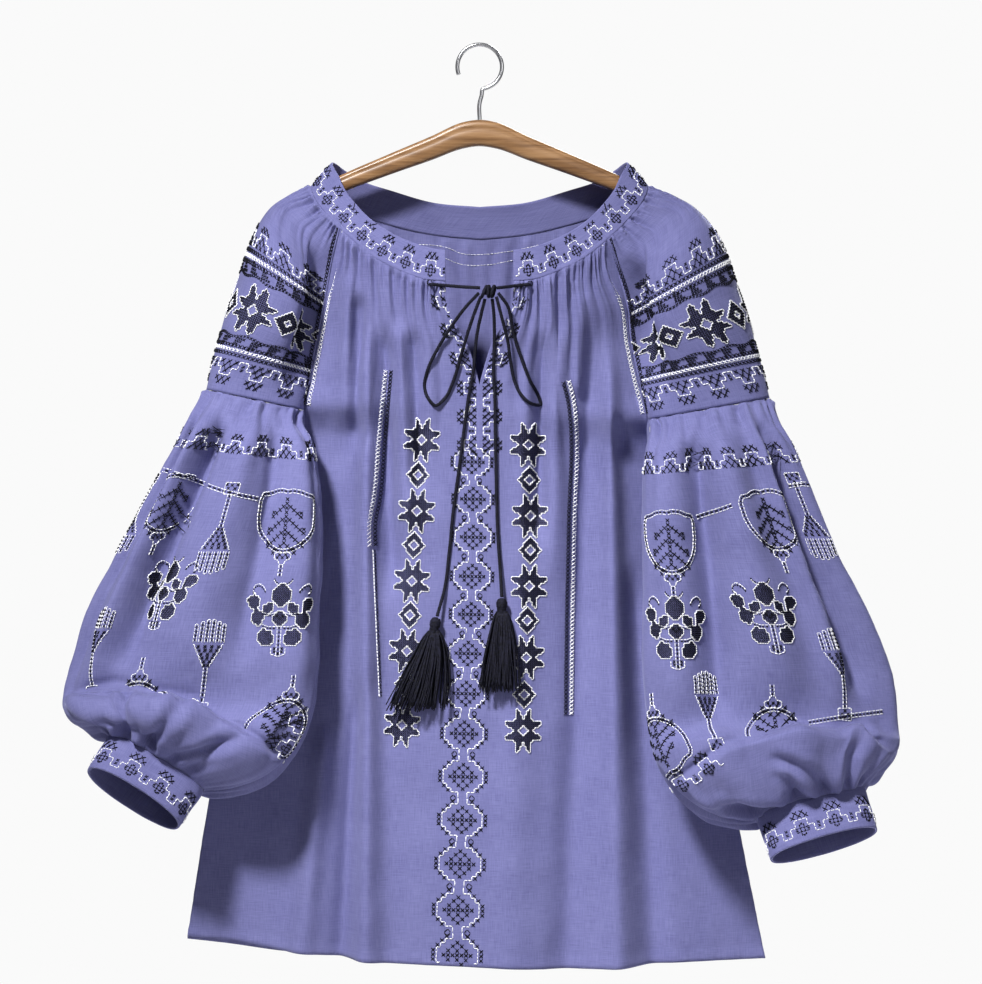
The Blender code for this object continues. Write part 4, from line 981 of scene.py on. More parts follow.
def crumpled(side, x, z):
    """Narrow valleys with raised shoulders along the puff's lines, as a share of their depth."""
    total = np.zeros(x.shape)
    for line in PUFF_VALLEYS[side]:
        places = np.array([seen(*place) for place in line])
        steps = np.linalg.norm(np.diff(places, axis=0), axis=1)
        nearest = np.full(x.shape, 1e9)
        along = np.zeros(x.shape)
        run = 0.0
        for start, stop, step in zip(places[:-1], places[1:], steps):
            way = (stop - start) / step
            reached = np.clip((x - start[0]) * way[0] + (z - start[1]) * way[1], 0, step)
            away = np.hypot(x - start[0] - reached * way[0], z - start[1] - reached * way[1])
            along = np.where(away < nearest, (run + reached) / steps.sum(), along)
            nearest = np.minimum(nearest, away)
            run += step
        shape = 0.45 * np.exp(-(((nearest - 9) / 5) ** 2)) - np.exp(-((nearest / 4) ** 2))
        total = total + shape * smoothstep(0, 0.4, along)
    return np.clip(total, -1.2, 0.6)


def lower_cloth(side, material):
    lengths = ring_distance(side)
    seed = 51 if side == "left" else 71

    def surface(u, v):
        return lower_point(side, u % 1.0, np.clip(v, 0, RINGS - 1))

    def relief(u, v, points):
        distance = np.interp(v, np.arange(RINGS), lengths)
        rest = lengths[-1] - distance
        total = np.zeros(u.shape)
        for number, row in enumerate(ELBOW_GATHERS):
            total = total + gathers(u, distance, seed + number, *row)
        total = total * (0.2 + 0.8 * smoothstep(0, 6, distance)) * smoothstep(0.01, 0.06, np.minimum(u, 1 - u))
        for number, row in enumerate(CUFF_GATHERS):
            total = total + gathers(u, rest, seed + 10 + number, *row) * smoothstep(-2, 6, rest)
        x, z = points[..., 0], points[..., 2]
        below = below_crest(side, x, z)
        puff = PUFF_HEIGHT * smoothstep(-1.5, 5, below) * np.exp(-((np.clip(below, 0, None) / 60) ** 2))
        puff = puff - 2.5 * np.exp(-(((below + 4) / 3.5) ** 2))
        puff = puff + VALLEY_DEPTH * crumpled(side, x, z) * smoothstep(-2, 6, rest)
        total = total + puff * smoothstep(0.02, 0.08, u) * (1 - smoothstep(0.40, 0.47, u))
        uneven = 0.45 * ripple(x, z, 48, seed + 5) + 0.12 * ripple(x, z, 15, seed + 6)
        return total + uneven * smoothstep(5, 30, distance)

    top, middle, foot = LOWER_ROWS
    rows = [np.linspace(0, 2, top)[:-1], np.linspace(2, 7, middle)[:-1], np.linspace(7, RINGS - 1, foot)]
    return cloth(
        "cloth_sleeve_lower_" + side, surface, [odd(0, 1, LOWER_COLUMNS)], odd_rows(np.concatenate(rows)),
        -sleeve_sign(side), relief, arc_map, material, ring=True,
    )


def upper_cloth(side, material):
    seed = 91 if side == "left" else 111

    def surface(u, v):
        return tucked(upper_point(side, np.clip(u, 0, 1), np.clip(v, 0, 1)), v * UPPER_LENGTH)

    def relief(u, v, points):
        distance = v * UPPER_LENGTH
        total = np.zeros(u.shape)
        for number, row in enumerate(UPPER_GATHERS):
            held = shirring(distance) if number < 2 else 1
            total = total + gathers(u, distance, seed + number, *row) * held
        total = total * (0.15 + 0.85 * smoothstep(0, 6, distance))
        edge = np.minimum(u, 1 - u)
        total = total * smoothstep(0, 0.03, edge) * (1 - smoothstep(0.93, 1, v))
        uneven = 0.3 * ripple(points[..., 0], points[..., 2], 40, seed + 5)
        total = total + uneven * smoothstep(0, 0.05, edge) * (1 - smoothstep(0.93, 1, v))
        return sunk(total, distance)

    rows = odd_rows(np.concatenate([np.linspace(0, 0.25, UPPER_ROWS[0])[:-1], np.linspace(0.25, 1, UPPER_ROWS[1])]))
    rows = np.concatenate([np.array(ALLOWANCE) / UPPER_LENGTH, rows])
    return cloth(
        "cloth_sleeve_upper_" + side, surface, [odd(0, 1, UPPER_COLUMNS)], rows,
        -sleeve_sign(side), relief, arc_map, material,
    )


def seam_strip(face, side, material):
    """Seam allowance that lies behind a raglan seam and closes it from inside."""
    levels = np.linspace(0, 1, 400)
    ones = np.ones(levels.shape)
    end = 0.0 if face == "front" else 1.0
    step = 0.035 if face == "front" else -0.035
    panel = [panel_point(face, side, ones * across, levels * 0.42) for across in (0.955, 1.0)]
    sleeve = [upper_point(side, ones * at, levels) for at in (end, end + step)]
    top = min(panel[1][0, 2], sleeve[0][0, 2]) + 3.0
    foot = max(panel[1][:, 2].min(), sleeve[0][:, 2].min()) - 26.0
    heights = np.linspace(top, foot, 61)
    columns = []
    lines = ((panel[0], panel[1]), (panel[1], panel[1]), (sleeve[0], sleeve[0]), (sleeve[1], sleeve[0]))
    for line, edge in lines:
        order = np.argsort(-edge[:, 2])
        key = -edge[order, 2]
        columns.append(np.stack([np.interp(-heights, key, line[order, k]) for k in range(3)], -1))
        columns[-1][:, 2] = heights
    grid = np.stack(columns, 1)
    back = 1 if face == "front" else -1
    inward = np.array([-0.35 * sleeve_sign(side), back, 0]) / 1.06
    outer, inner = grid + inward * 1.1, grid + inward * 1.7
    first = np.arange(grid[..., 0].size).reshape(grid.shape[:2])
    second = first + first.size
    edges = []
    for side_of in (lambda g: g[0], lambda g: g[-1], lambda g: g[:, 0], lambda g: g[:, -1]):
        a, b = side_of(first), side_of(second)
        edges.append(np.stack([a[:-1], a[1:], b[1:], b[:-1]], -1))
    quads = np.concatenate([grid_faces(first), grid_faces(second)[:, ::-1], *edges])
    points = np.concatenate([outer.reshape(-1, 3), inner.reshape(-1, 3)])
    name = "seam_%s_%s" % (face, side)
    item = sheet_mesh(name, points, points[:, [0, 2]] + 900, quads, np.zeros((0, 3), int), material)
    return item


def cuff_cloth(side, material):
    def surface(u, v):
        return cuff_point(side, u % 1.0, v)

    def relief(u, v, points):
        edge = np.minimum(v, 1 - v) * CUFF_HEIGHT
        roll = 0.5 * smoothstep(0, 1.6, edge) - 0.30 * np.exp(-(((edge - 2.6) / 0.6) ** 2))
        return roll + 0.22 * ripple(points[..., 0], points[..., 2], 22, 131)

    return cloth(
        "cloth_cuff_" + side, surface, [odd(0, 1, 120)], odd(0, 1, 40), -sleeve_sign(side), relief, arc_map,
        material, ring=True, wall=BAND_WALL,
    )


def band_cloth(material):
    def surface(u, v):
        return band_point(np.clip(u, 0, 1) * 2 * HALF_BAND, np.clip(v, 0, 1))

    def relief(u, v, points):
        edge = np.minimum(v, 1 - v) * 26.0
        roll = 0.45 * smoothstep(0, 1.6, edge) - 0.30 * np.exp(-(((edge - 2.4) / 0.6) ** 2))
        return roll + 0.22 * ripple(u * 560, v * 26, 24, 141)

    return cloth(
        "cloth_neckband", surface, [odd(0, 1, 420)], odd(0, 1, 28), -1, relief, arc_map, material, wall=BAND_WALL
    )


# Materials

def socket_noise(tree, vector, scale, detail, rough):
    """A noise texture stretched by the three numbers of scale."""
    mapping = tree.nodes.new("ShaderNodeMapping")
    mapping.inputs["Scale"].default_value = scale
    tree.links.new(vector, mapping.inputs["Vector"])
    noise = tree.nodes.new("ShaderNodeTexNoise")
    noise.inputs["Scale"].default_value = 1.0
    noise.inputs["Detail"].default_value = detail
    noise.inputs["Roughness"].default_value = rough
    tree.links.new(mapping.outputs["Vector"], noise.inputs["Vector"])
    return noise.outputs["Fac"]


def socket_math(tree, operation, first, second):
    node = tree.nodes.new("ShaderNodeMath")
    node.operation = operation
    for place, value in enumerate((first, second)):
        if isinstance(value, (int, float)):
            node.inputs[place].default_value = value
        else:
            tree.links.new(value, node.inputs[place])
    return node.outputs["Value"]


def socket_mix(tree, first, first_share, second, second_share):
    parts = [socket_math(tree, "MULTIPLY", *pair) for pair in ((first, first_share), (second, second_share))]
    return socket_math(tree, "ADD", *parts)


def socket_ramp(tree, factor, stops):
    node = tree.nodes.new("ShaderNodeValToRGB")
    ramp = node.color_ramp
    while len(ramp.elements) < len(stops):
        ramp.elements.new(0.5)
    for element, (place, colour) in zip(ramp.elements, stops):
        element.position = place
        element.color = (*colour, 1)
    tree.links.new(factor, node.inputs["Fac"])
    return node.outputs["Color"]


def bump(tree, shader, height, strength, distance):
    node = tree.nodes.new("ShaderNodeBump")
    node.inputs["Strength"].default_value = strength
    node.inputs["Distance"].default_value = distance
    tree.links.new(height, node.inputs["Height"])
    tree.links.new(node.outputs["Normal"], shader.inputs["Normal"])


def new_material(name, roughness):
    material = bpy.data.materials.new(name)
    material.use_nodes = True
    shader = material.node_tree.nodes["Principled BSDF"]
    shader.inputs["Roughness"].default_value = roughness
    return material, material.node_tree, shader


def chambray(name, dark, middle, light):
    """Cotton chambray: white and blue threads that cross, with uneven thick places along both."""
    material, tree, shader = new_material(name, 0.88)
    shader.inputs["Specular IOR Level"].default_value = 0.25
    shader.inputs["Sheen Weight"].default_value = 0.22
    shader.inputs["Sheen Roughness"].default_value = 0.45
    shader.inputs["Sheen Tint"].default_value = (0.62, 0.64, 1.0, 1)
    flat = tree.nodes.new("ShaderNodeUVMap")
    flat.uv_map = "cloth"
    vector = flat.outputs["UV"]
    warp = socket_noise(tree, vector, (1500, 75, 1), 3, 0.6)
    weft = socket_noise(tree, vector, (75, 1500, 1), 3, 0.6)
    blotch = socket_noise(tree, vector, (26, 26, 1), 4, 0.55)
    thread = socket_mix(tree, warp, 0.5, weft, 0.5)
    mixed = socket_mix(tree, thread, 0.8, blotch, 0.2)
    colour = socket_ramp(tree, mixed, ((0.36, dark), (0.5, middle), (0.66, light)))
    tree.links.new(colour, shader.inputs["Base Color"])
    grain = socket_math(tree, "ADD", warp, weft)
    bump(tree, shader, grain, 0.35, 0.00035)
    return material


def thread_material(name, dark, light, roughness, scale=900):
    material, tree, shader = new_material(name, roughness)
    coordinates = tree.nodes.new("ShaderNodeTexCoord").outputs["Object"]
    strands = socket_noise(tree, coordinates, (scale, scale, scale), 2, 0.5)
    tree.links.new(socket_ramp(tree, strands, ((0.35, dark), (0.65, light))), shader.inputs["Base Color"])
    shader.inputs["Specular IOR Level"].default_value = 0.2
    bump(tree, shader, strands, 0.4, 0.0002)
    return material


def wood_material():
    material, tree, shader = new_material("hanger_wood", 0.42)
    coordinates = tree.nodes.new("ShaderNodeTexCoord").outputs["Object"]
    grain = socket_noise(tree, coordinates, (9, 60, 240), 5, 0.6)
    fine = socket_noise(tree, coordinates, (60, 500, 1500), 2, 0.5)
    mixed = socket_mix(tree, grain, 0.75, fine, 0.25)
    stops = ((0.36, (0.12, 0.052, 0.016)), (0.5, (0.235, 0.118, 0.045)), (0.62, (0.33, 0.18, 0.078)))
    tree.links.new(socket_ramp(tree, mixed, stops), shader.inputs["Base Color"])
    shader.inputs["Coat Weight"].default_value = 0.25
    shader.inputs["Coat Roughness"].default_value = 0.25
    bump(tree, shader, mixed, 0.2, 0.0003)
    return material


def steel_material():
    material, tree, shader = new_material("hook_steel", 0.28)
    shader.inputs["Metallic"].default_value = 1.0
    coordinates = tree.nodes.new("ShaderNodeTexCoord").outputs["Object"]
    drawn = socket_noise(tree, coordinates, (700, 700, 90), 3, 0.6)
    stops = ((0.3, (0.5, 0.5, 0.52)), (0.7, (0.74, 0.74, 0.76)))
    tree.links.new(socket_ramp(tree, drawn, stops), shader.inputs["Base Color"])
    bump(tree, shader, drawn, 0.12, 0.0001)
    return material


# Tie cord, knot and tassels

CORD_SIDES = 12
CORD_TWIST = 7.0


def route(points, spacing):
    """Centres of a cord that lies in front of the front panel, and follows it."""
    table = np.array(points, float)
    knots = running_length(table)
    count = max(4, int(round(knots[-1] / spacing)) + 1)
    x, z, lift = smooth_curve(knots, table, np.linspace(0, knots[-1], count)).T
    y = np.array([cover_depth(a, c) for a, c in zip(x, z)]) - lift
    return np.stack([x, y, z], axis=-1)


def cover_depth(x, z):
    """Depth of the front panel near its middle; over the slit, of the line between its two edges."""
    half = float(slit_half(z)) if z > SLIT_BOTTOM_Z else 0.0
    reach = max(abs(x), half)
    return float(panel_depth("front", reach if x >= 0 else -reach, z))


def plain_mesh(name, points, faces, material):
    mesh = bpy.data.meshes.new(name)
    mesh.from_pydata((np.asarray(points) * MM).tolist(), [], [tuple(int(i) for i in face) for face in faces])
    turn_outward(mesh)
    return added(name, mesh, material)


def tube(path, radius, sides, twist=0.0, lobes=3, lobe_depth=0.0):
    """Points and faces of a closed tube along a path, its section turned by one turn in `twist` mm."""
    path = np.asarray(path, float)
    along = running_length(path)
    tangent = np.gradient(path, along, axis=0)
    tangent /= np.linalg.norm(tangent, axis=1, keepdims=True)
    side = np.zeros_like(path)
    last = np.cross(tangent[0], [0, 1, 0])
    if np.linalg.norm(last) < 0.2:
        last = np.cross(tangent[0], [1, 0, 0])
    for i, direction in enumerate(tangent):
        last = last - direction * (last @ direction)
        last = last / np.linalg.norm(last)
        side[i] = last
    other = np.cross(tangent, side)
    radius = np.broadcast_to(np.asarray(radius, float), along.shape)
    angle = 2 * np.pi * np.arange(sides) / sides
    turn = 2 * np.pi * along / twist if twist else along * 0
    swell = 1 + lobe_depth * np.cos(lobes * (angle[None] - turn[:, None]))
    r = radius[:, None] * swell
    points = path[:, None] + side[:, None] * (r * np.cos(angle))[..., None]
    points = points + other[:, None] * (r * np.sin(angle))[..., None]
    index = np.arange(points[..., 0].size).reshape(points.shape[:2])
    wrapped = np.concatenate([index, index[:, :1]], axis=1)
    faces = grid_faces(wrapped).tolist()
    faces.append(index[0].tolist())
    faces.append(index[-1][::-1].tolist())
    return points.reshape(-1, 3), faces


def joined(parts):
    points, faces, count = [], [], 0
    for part_points, part_faces in parts:
        points.append(np.asarray(part_points, float))
        faces += [[i + count for i in face] for face in part_faces]
        count += len(part_points)
    return np.concatenate(points), faces


def tie_cord(name, table, far_end, pieces, material):
    path = route(table, 0.7)
    points, faces = tube(path, CORD_DIAMETER / 2 * 0.97, CORD_SIDES, CORD_TWIST, 3, 0.11)
    item = plain_mesh("cord_" + name, points, faces, material)
    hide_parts("tie_" + name)
    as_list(pieces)


def tie_knot_piece(material):
    """The bow's knot: turns of cord round a small core."""
    centre = np.array(KNOT_CENTRE)
    parts = []
    for tilt, shift, turn in ((12, -3.6, 0.0), (-8, 0.2, 0.7), (10, 3.7, 1.3)):
        angle = np.linspace(0, 2 * np.pi, 40)
        lean = math.radians(tilt)
        ring = np.stack([shift + 0.9 * np.sin(angle + turn), 3.9 * np.cos(angle), 4.3 * np.sin(angle)], -1)
        ring[:, 0] += ring[:, 2] * math.sin(lean)
        parts.append(tube(centre + ring, 1.35, 10, CORD_TWIST, 3, 0.1))
    core = np.stack([np.linspace(-5.2, 5.2, 14), np.zeros(14), np.zeros(14)], -1)
    parts.append(tube(centre + core, 3.2 * np.sqrt(np.clip(1 - np.linspace(-0.97, 0.97, 14) ** 2, 0.02, 1)), 12))
    points, faces = joined(parts)
    item = plain_mesh("knot_bow", points, faces, material)
    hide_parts("tie_knot")
    return item


STRANDS = 115
SKIRT_SPREAD = 1.5
GOLDEN_ANGLE = 2.39996


def tassel_piece(side, material):
    x, z, lift, lean, skirt, spread = TASSELS[side]
    y = cover_depth(x, z) - lift
    slope = lean / skirt
    parts = []
    draw = np.random.default_rng(5 if side == "left" else 6)
    # The head, wound round with thread
    heights = np.linspace(0, -TASSEL_HEAD_HEIGHT, 50)
    outline = np.interp(-heights, (0, 1, 3.5, 7, 9.3, 10.4, 12), (0.2, 0.72, 1.0, 0.98, 0.72, 0.78, 0.84))
    wound = 1 + 0.035 * np.cos(2 * np.pi * heights / 1.1)
    centres = np.stack([x - slope * heights, y + 0 * heights, z + heights], -1)
    parts.append(tube(centres, TASSEL_HEAD_RADIUS * outline * wound, 20, 14, 9, 0.025))
    for level in (-8.8, -9.5, -10.2):
        angle = np.linspace(0, 2 * np.pi, 25)
        ring = np.stack([3.55 * np.cos(angle), 3.55 * np.sin(angle), 0 * angle], -1)
        parts.append(tube(ring + (x - slope * level, y, z + level), 0.42, 6))
    # The skirt of cut threads
    foot = np.array([x + slope * TASSEL_HEAD_HEIGHT, y, z - TASSEL_HEAD_HEIGHT + 1.0])
    for number in range(STRANDS):
        angle = number * GOLDEN_ANGLE
        reach = math.sqrt((number + 0.5) / STRANDS)
        length = skirt * draw.uniform(0.9, 1.02)
        s = np.linspace(0, 1, 14)
        fan = (0.95 * TASSEL_HEAD_RADIUS * reach) * (1 - s)
        fan = fan + (SKIRT_SPREAD * spread * reach * draw.uniform(0.75, 1.1)) * s**0.7
        wave = draw.uniform(0.3, 1.3) * np.sin(s * draw.uniform(4, 9) + draw.uniform(0, 6)) * s
        deep = np.minimum(fan * abs(math.sin(angle)), 2.8 + 3.2 * s) * math.copysign(1, math.sin(angle))
        across = foot[0] + lean * s**1.3 + fan * math.cos(angle) + wave
        path = np.stack([across, foot[1] + deep + 0.6 * wave + 0.8 * s, foot[2] - length * s], -1)
        parts.append(tube(path, np.interp(s, (0, 0.5, 1), (0.7, 0.78, 0.6)), 3))
    points, faces = joined(parts)
    item = plain_mesh("tassel_threads_" + side, points, faces, material)
    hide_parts("tassel_" + side)
    return item


# Hanger

def hanger_piece(material):
    half = np.array(HANGER_ARM, float)
    whole = np.concatenate([half[:0:-1] * np.array([-1, 1, 1]), half])
    places = np.linspace(-HANGER_ARM[-1][0], HANGER_ARM[-1][0], 121)
    rows = np.column_stack([places, smooth_curve(whole[:, 0], whole[:, 1:], places)])
    sides = 40
    points = []
    for x, top, height in rows:
        end = min(1.0, 0.55 + (HANGER_ARM[-1][0] - abs(x)) / 14.0)
        for k in range(sides):
            angle = 2 * math.pi * (k + 0.5) / sides
            c, s = math.cos(angle), math.sin(angle)
            # A shallow groove runs along both faces
            groove = 0.9 * math.exp(-(((s - 0.25) / 0.09) ** 2)) if abs(c) > 0.5 else 0
            y = math.copysign(abs(c) ** 0.6, c) * (HANGER_THICKNESS / 2 - groove) * end
            points.append((x, y, top - height / 2 + math.copysign(abs(s) ** 0.7, s) * height / 2))
    index = np.arange(len(points)).reshape(len(rows), sides)
    faces = grid_faces(np.concatenate([index, index[:, :1]], axis=1)).tolist()
    faces += [index[0].tolist(), index[-1][::-1].tolist()]
    item = plain_mesh("hanger_wood", points, faces, material)
    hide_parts("hanger_arms")
    return item


def hook_piece(material):
    r = HOOK_BEND_RADIUS + HOOK_WIRE / 2
    angle = np.radians(np.arange(200, -81, -4))
    path = np.stack([r * np.cos(angle), 0 * angle, -HOOK_BEND_RADIUS + r * np.sin(angle)], -1)
    path = np.concatenate([path, [(1.5, 0, -41.5), (0, 0, -47), (0, 0, HANGER_ARM[0][1] - 0.7)]])
    knots = running_length(path)
    path = smooth_curve(knots, path, np.linspace(0, knots[-1], 150))
    points, faces = tube(path, HOOK_WIRE / 2, 20)
    item = plain_mesh("hook_wire", points, faces, material)
    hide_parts("hanger_hook")
    return item


# Embroidery charts: flat lists of stitches, a to the viewer's right and b up, in millimetres

# Radii of the threads: crosses, white outlines, and the crosses of small clusters and braids
THREAD = 0.6
WHITE = 0.62
FINE = 0.52


class Chart:
    """A motif as stitches in black and white thread, drawn by rule from a few sizes."""

    def __init__(self):
        self.rows = {"black": [], "white": []}

    def stitch(self, colour, a0, b0, a1, b1, radius=THREAD, lift=0.25):
        self.rows[colour].append((a0, b0, a1, b1, radius, lift))

    def cross(self, a, b, size, colour="black", radius=THREAD):
        h = size * 0.48
        self.stitch(colour, a - h, b - h, a + h, b + h, radius, 0.2)
        self.stitch(colour, a - h, b + h, a + h, b - h, radius, 0.55)

    def crosses(self, spots, size, colour="black", radius=THREAD):
        for a, b in spots:
            self.cross(a * size, b * size, size, colour, radius)

    def path(self, colour, points, step=3.0, radius=WHITE, gap=0.0, lift=0.25):
        """Back stitches of about `step` along a line, with `gap` left out of each."""
        for (a0, b0), (a1, b1) in zip(points[:-1], points[1:]):
            along, up = a1 - a0, b1 - b0
            count = max(1, round(math.hypot(along, up) / step))
            for k in range(count):
                s, e = (k + gap / 2) / count, (k + 1 - gap / 2) / count
                self.stitch(colour, a0 + along * s, b0 + up * s, a0 + along * e, b0 + up * e, radius, lift)

    def rail(self, points, half=1.6):
        """Black dashes between two white lines."""
        self.path("black", points, 3.6, 0.9, 0.2, 0.35)
        line = np.array(points, float)
        way = np.gradient(line, axis=0)
        way /= np.maximum(np.linalg.norm(way, axis=1, keepdims=True), 1e-9)
        off = np.stack([-way[:, 1], way[:, 0]], -1) * half
        self.path("white", (line + off).tolist(), 3.0, 0.5)
        self.path("white", (line - off).tolist(), 3.0, 0.5)

    def patch(self, inside, reach, cell, outline=True):
        """Fills the cells whose middles are inside with small crosses, and edges them in white."""
        count = int(reach / cell) + 1
        spots = np.arange(-count, count + 1)
        a, b = np.meshgrid(spots * cell, spots * cell)
        filled = inside(a, b)
        for i, j in np.argwhere(filled):
            x, y = a[i, j], b[i, j]
            self.cross(x, y, cell * 1.04, radius=cell * 0.225)
            h = cell * 0.55
            if not outline:
                continue
            beside = (1, 0, -h, h, h, h), (-1, 0, -h, -h, h, -h), (0, 1, h, -h, h, h), (0, -1, -h, -h, -h, h)
            for di, dj, x0, y0, x1, y1 in beside:
                if not filled[i + di, j + dj]:
                    self.stitch("white", x + x0, y + y0, x + x1, y + y1, 0.58, 0.5)

    def place(self, other, a=0.0, b=0.0, flip=False):
        """Adds another chart, moved, and upside down where `flip` says so."""
        way = -1 if flip else 1
        for colour, rows in other.rows.items():
            for a0, b0, a1, b1, radius, lift in rows:
                self.rows[colour].append((a + a0, b + b0 * way, a + a1, b + b1 * way, radius, lift))
        return self


def in_polygon(a, b, corners):
    inside = np.zeros(a.shape, bool)
    for (x0, y0), (x1, y1) in zip(corners, corners[1:] + corners[:1]):
        with np.errstate(divide="ignore", invalid="ignore"):
            meets = ((y0 > b) != (y1 > b)) & (a < (x1 - x0) * (b - y0) / (y1 - y0) + x0)
        inside ^= meets
    return inside


# One quarter of the eight-pointed star, as shares of its half width and half height
STAR_QUARTER = (
    (0, 0), (0, 0.52), (0.28, 1.02), (0.42, 1.02), (0.46, 0.52), (0.52, 0.46), (1.02, 0.42), (1.02, 0.28), (0.52, 0),
)


def star_chart(half_width, half_height, cell):
    def inside(a, b):
        i, j = np.round(np.abs(a) / cell), np.round(np.abs(b) / cell)
        hole = ((i <= 2) & (j == 0)) | ((i == 0) & (j <= 2)) | ((i <= 1) & (j <= 1))
        star = in_polygon(np.abs(a) / half_width + 1e-6, np.abs(b) / half_height + 1e-6, list(STAR_QUARTER))
        return star & ~hole

    chart = Chart()
    chart.patch(inside, max(half_width, half_height) + cell, cell)
    return chart


def ring_chart(half_width, half_height, cell, hole=0.42):
    def inside(a, b):
        reach = np.abs(a) / half_width + np.abs(b) / half_height
        return (reach < 1.0) & (reach > hole)

    chart = Chart()
    chart.patch(inside, max(half_width, half_height) + cell, cell)
    return chart


def medallion_chart(cell):
    """Stepped octagon in white round a lattice of crosses, with clusters beside it and below it."""
    chart = Chart()
    lattice = [(k, 0) for k in range(-3, 4)]
    lattice += [(x, y) for y in (-1, 1) for x in (-2, 0, 2)]
    lattice += [(x, y) for y in (-2, 2) for x in (-1, 1)] + [(0, -2.8), (0, 2.8)]
    chart.crosses(lattice, cell)
    for sign in (-1, 1):
        chart.crosses([(sign * 5.35, y) for y in (-1, 0, 1)], cell)
        corner = [(sign * 3.5, 3.25), (sign * 3.5, -3.25), (sign * 4.5, 2.2), (sign * 4.5, -2.2)]
        chart.crosses(corner, cell * 0.98, radius=FINE)
        chart.crosses([(sign * 2.0, -5.0)], cell * 1.15)
        chart.path(
            "black",
            [(sign * cell * x, cell * y) for x, y in ((1.5, -5), (2.1, -4.2), (2.9, -5), (2.1, -5.8), (1.5, -5))],
            3.0, 0.5,
        )
        steps = ((1.05, 5.0), (1.05, 3.6), (2.7, 3.6), (2.7, 2.7), (3.7, 2.7), (3.7, 1.7), (4.6, 1.7), (4.6, 0))
        for turned in (1, -1):
            chart.path("white", [(sign * x * cell, turned * y * cell) for x, y in steps], cell)
    return chart


BORDER_WIDTH = 8
BORDER_STEPS = ((0, 0), (1.1, 0), (1.1, 2), (2.5, 2), (2.5, 3.8), (5.5, 3.8), (5.5, 2), (6.9, 2), (6.9, 0), (8, 0))
CROWN = ((2.4, 4.6), (4, 4.7), (5.6, 4.6), (3.2, 5.6), (4.8, 5.6))
LATTICE = ((4, 2.7), (3.1, 1.6), (4.9, 1.6), (2.1, 0.4), (4, 0.4), (5.9, 0.4))


def border_chart(count, cell, tall, hashes, start=0.0):
    """A zigzag white line with a crown of crosses on each peak and a cluster under it."""
    chart = Chart()
    for k in range(count):
        left = start + k * BORDER_WIDTH * cell
        chart.path("white", [(left + x * cell, y * tall) for x, y in BORDER_STEPS])
        for x, y in CROWN:
            chart.cross(left + x * cell, y * tall, cell * 1.3)
        for y in (1.0, 1.95):
            chart.cross(left, y * tall, cell * 0.85, radius=FINE)
        if not hashes:
            for x, y in LATTICE:
                chart.cross(left + x * cell, y * tall, cell * 1.35)
            continue
        for x in (3.5, 4.5):
            chart.path("black", [(left + x * cell, -0.3 * tall), (left + x * cell, 2.7 * tall)], 2.6, 0.75)
        for y in (0.7, 1.7):
            chart.path("black", [(left + 2.4 * cell, y * tall), (left + 5.6 * cell, y * tall)], 2.6, 0.75)
        for x, y in ((2.6, 1.2), (5.4, 1.2), (4, 2.7), (4, -0.2)):
            chart.cross(left + x * cell, y * tall, cell * 0.6, radius=FINE)
    return chart


def braid_chart(length, pitch, bands):
    """Rows of crosses along a. Each band is its colour, its middle and its width."""
    chart = Chart()
    for colour, middle, width in bands:
        radius = FINE if colour == "black" else 0.45
        for k in range(int(length / pitch)):
            near, far = k * pitch, (k + 1) * pitch
            chart.stitch(colour, near, middle - width / 2, far, middle + width / 2, radius, 0.2)
            chart.stitch(colour, near, middle + width / 2, far, middle - width / 2, radius, 0.55)
    return chart


def scroll_chart(length, cell, start=0.0):
    """A wavy line of crosses with a small leaf in each bend."""
    chart = Chart()
    for k in range(int(length / cell)):
        a = start + k * cell
        wave = math.sin(2 * math.pi * a / 31.0)
        chart.cross(a, 1.2 * wave, cell * 0.95, radius=FINE)
        if k % 5 == 3:
            for row in range(4):
                for place in range(4 - row):
                    b = -1.5 * wave - (row + 1) * cell * 0.8
                    chart.cross(a + place * cell * 0.8, b, cell * 0.8, radius=FINE)
    return chart


def tree_chart(cell, rows, down):
    """A spine of crosses with sloping branches."""
    chart = Chart()
    for k in range(rows):
        chart.cross(0, -k * cell, cell)
    for start, reach in zip(range(1, rows, 3), (4, 5, 5, 3)):
        for n in range(1, reach + 1):
            b = -start * cell + (-n if down else n) * cell * 0.75
            for sign in (-1, 1):
                chart.cross(sign * n * cell * 0.86, b, cell * 1.15)
                if n == reach:
                    chart.cross(sign * n * cell * 0.86, b + (cell if down else -cell) * 0.9, cell * 0.8)
    return chart


def fleuron_chart():
    """Small clover of loops, with a short stem."""
    chart = Chart()
    chart.crosses([(0, 0), (-1, 0.9), (1, 0.9), (-1.6, 0), (1.6, 0)], 2.7)
    ring = [(7, 3), (7, -1), (3, -2.5), (2, -6), (-2, -6), (-3, -2.5), (-7, -1), (-7, 3)]
    chart.path("white", ring + [(-3, 5), (0, 3.6), (3, 5), (7, 3)], 2.6)
    chart.rail([(0, -6), (0, -16)])
    return chart


# Right half of the shield's outline, from the top to the foot
SHIELD_HALF = (
    (0, 1), (4, 2.2), (11, 1.4), (17, -1), (24, -2), (26.5, -7), (26.5, -20), (24.5, -29), (20.5, -36),
    (14, -43), (6, -47), (0, -48),
)


def shield_chart(flip=False):
    chart = Chart()
    for sign in (-1, 1):
        chart.rail([(sign * a, b) for a, b in SHIELD_HALF])
    chart.place(tree_chart(3.6, 11, True), 0, -5)
    chart.place(fleuron_chart(), 0, -53)
    return Chart().place(chart, flip=True) if flip else chart


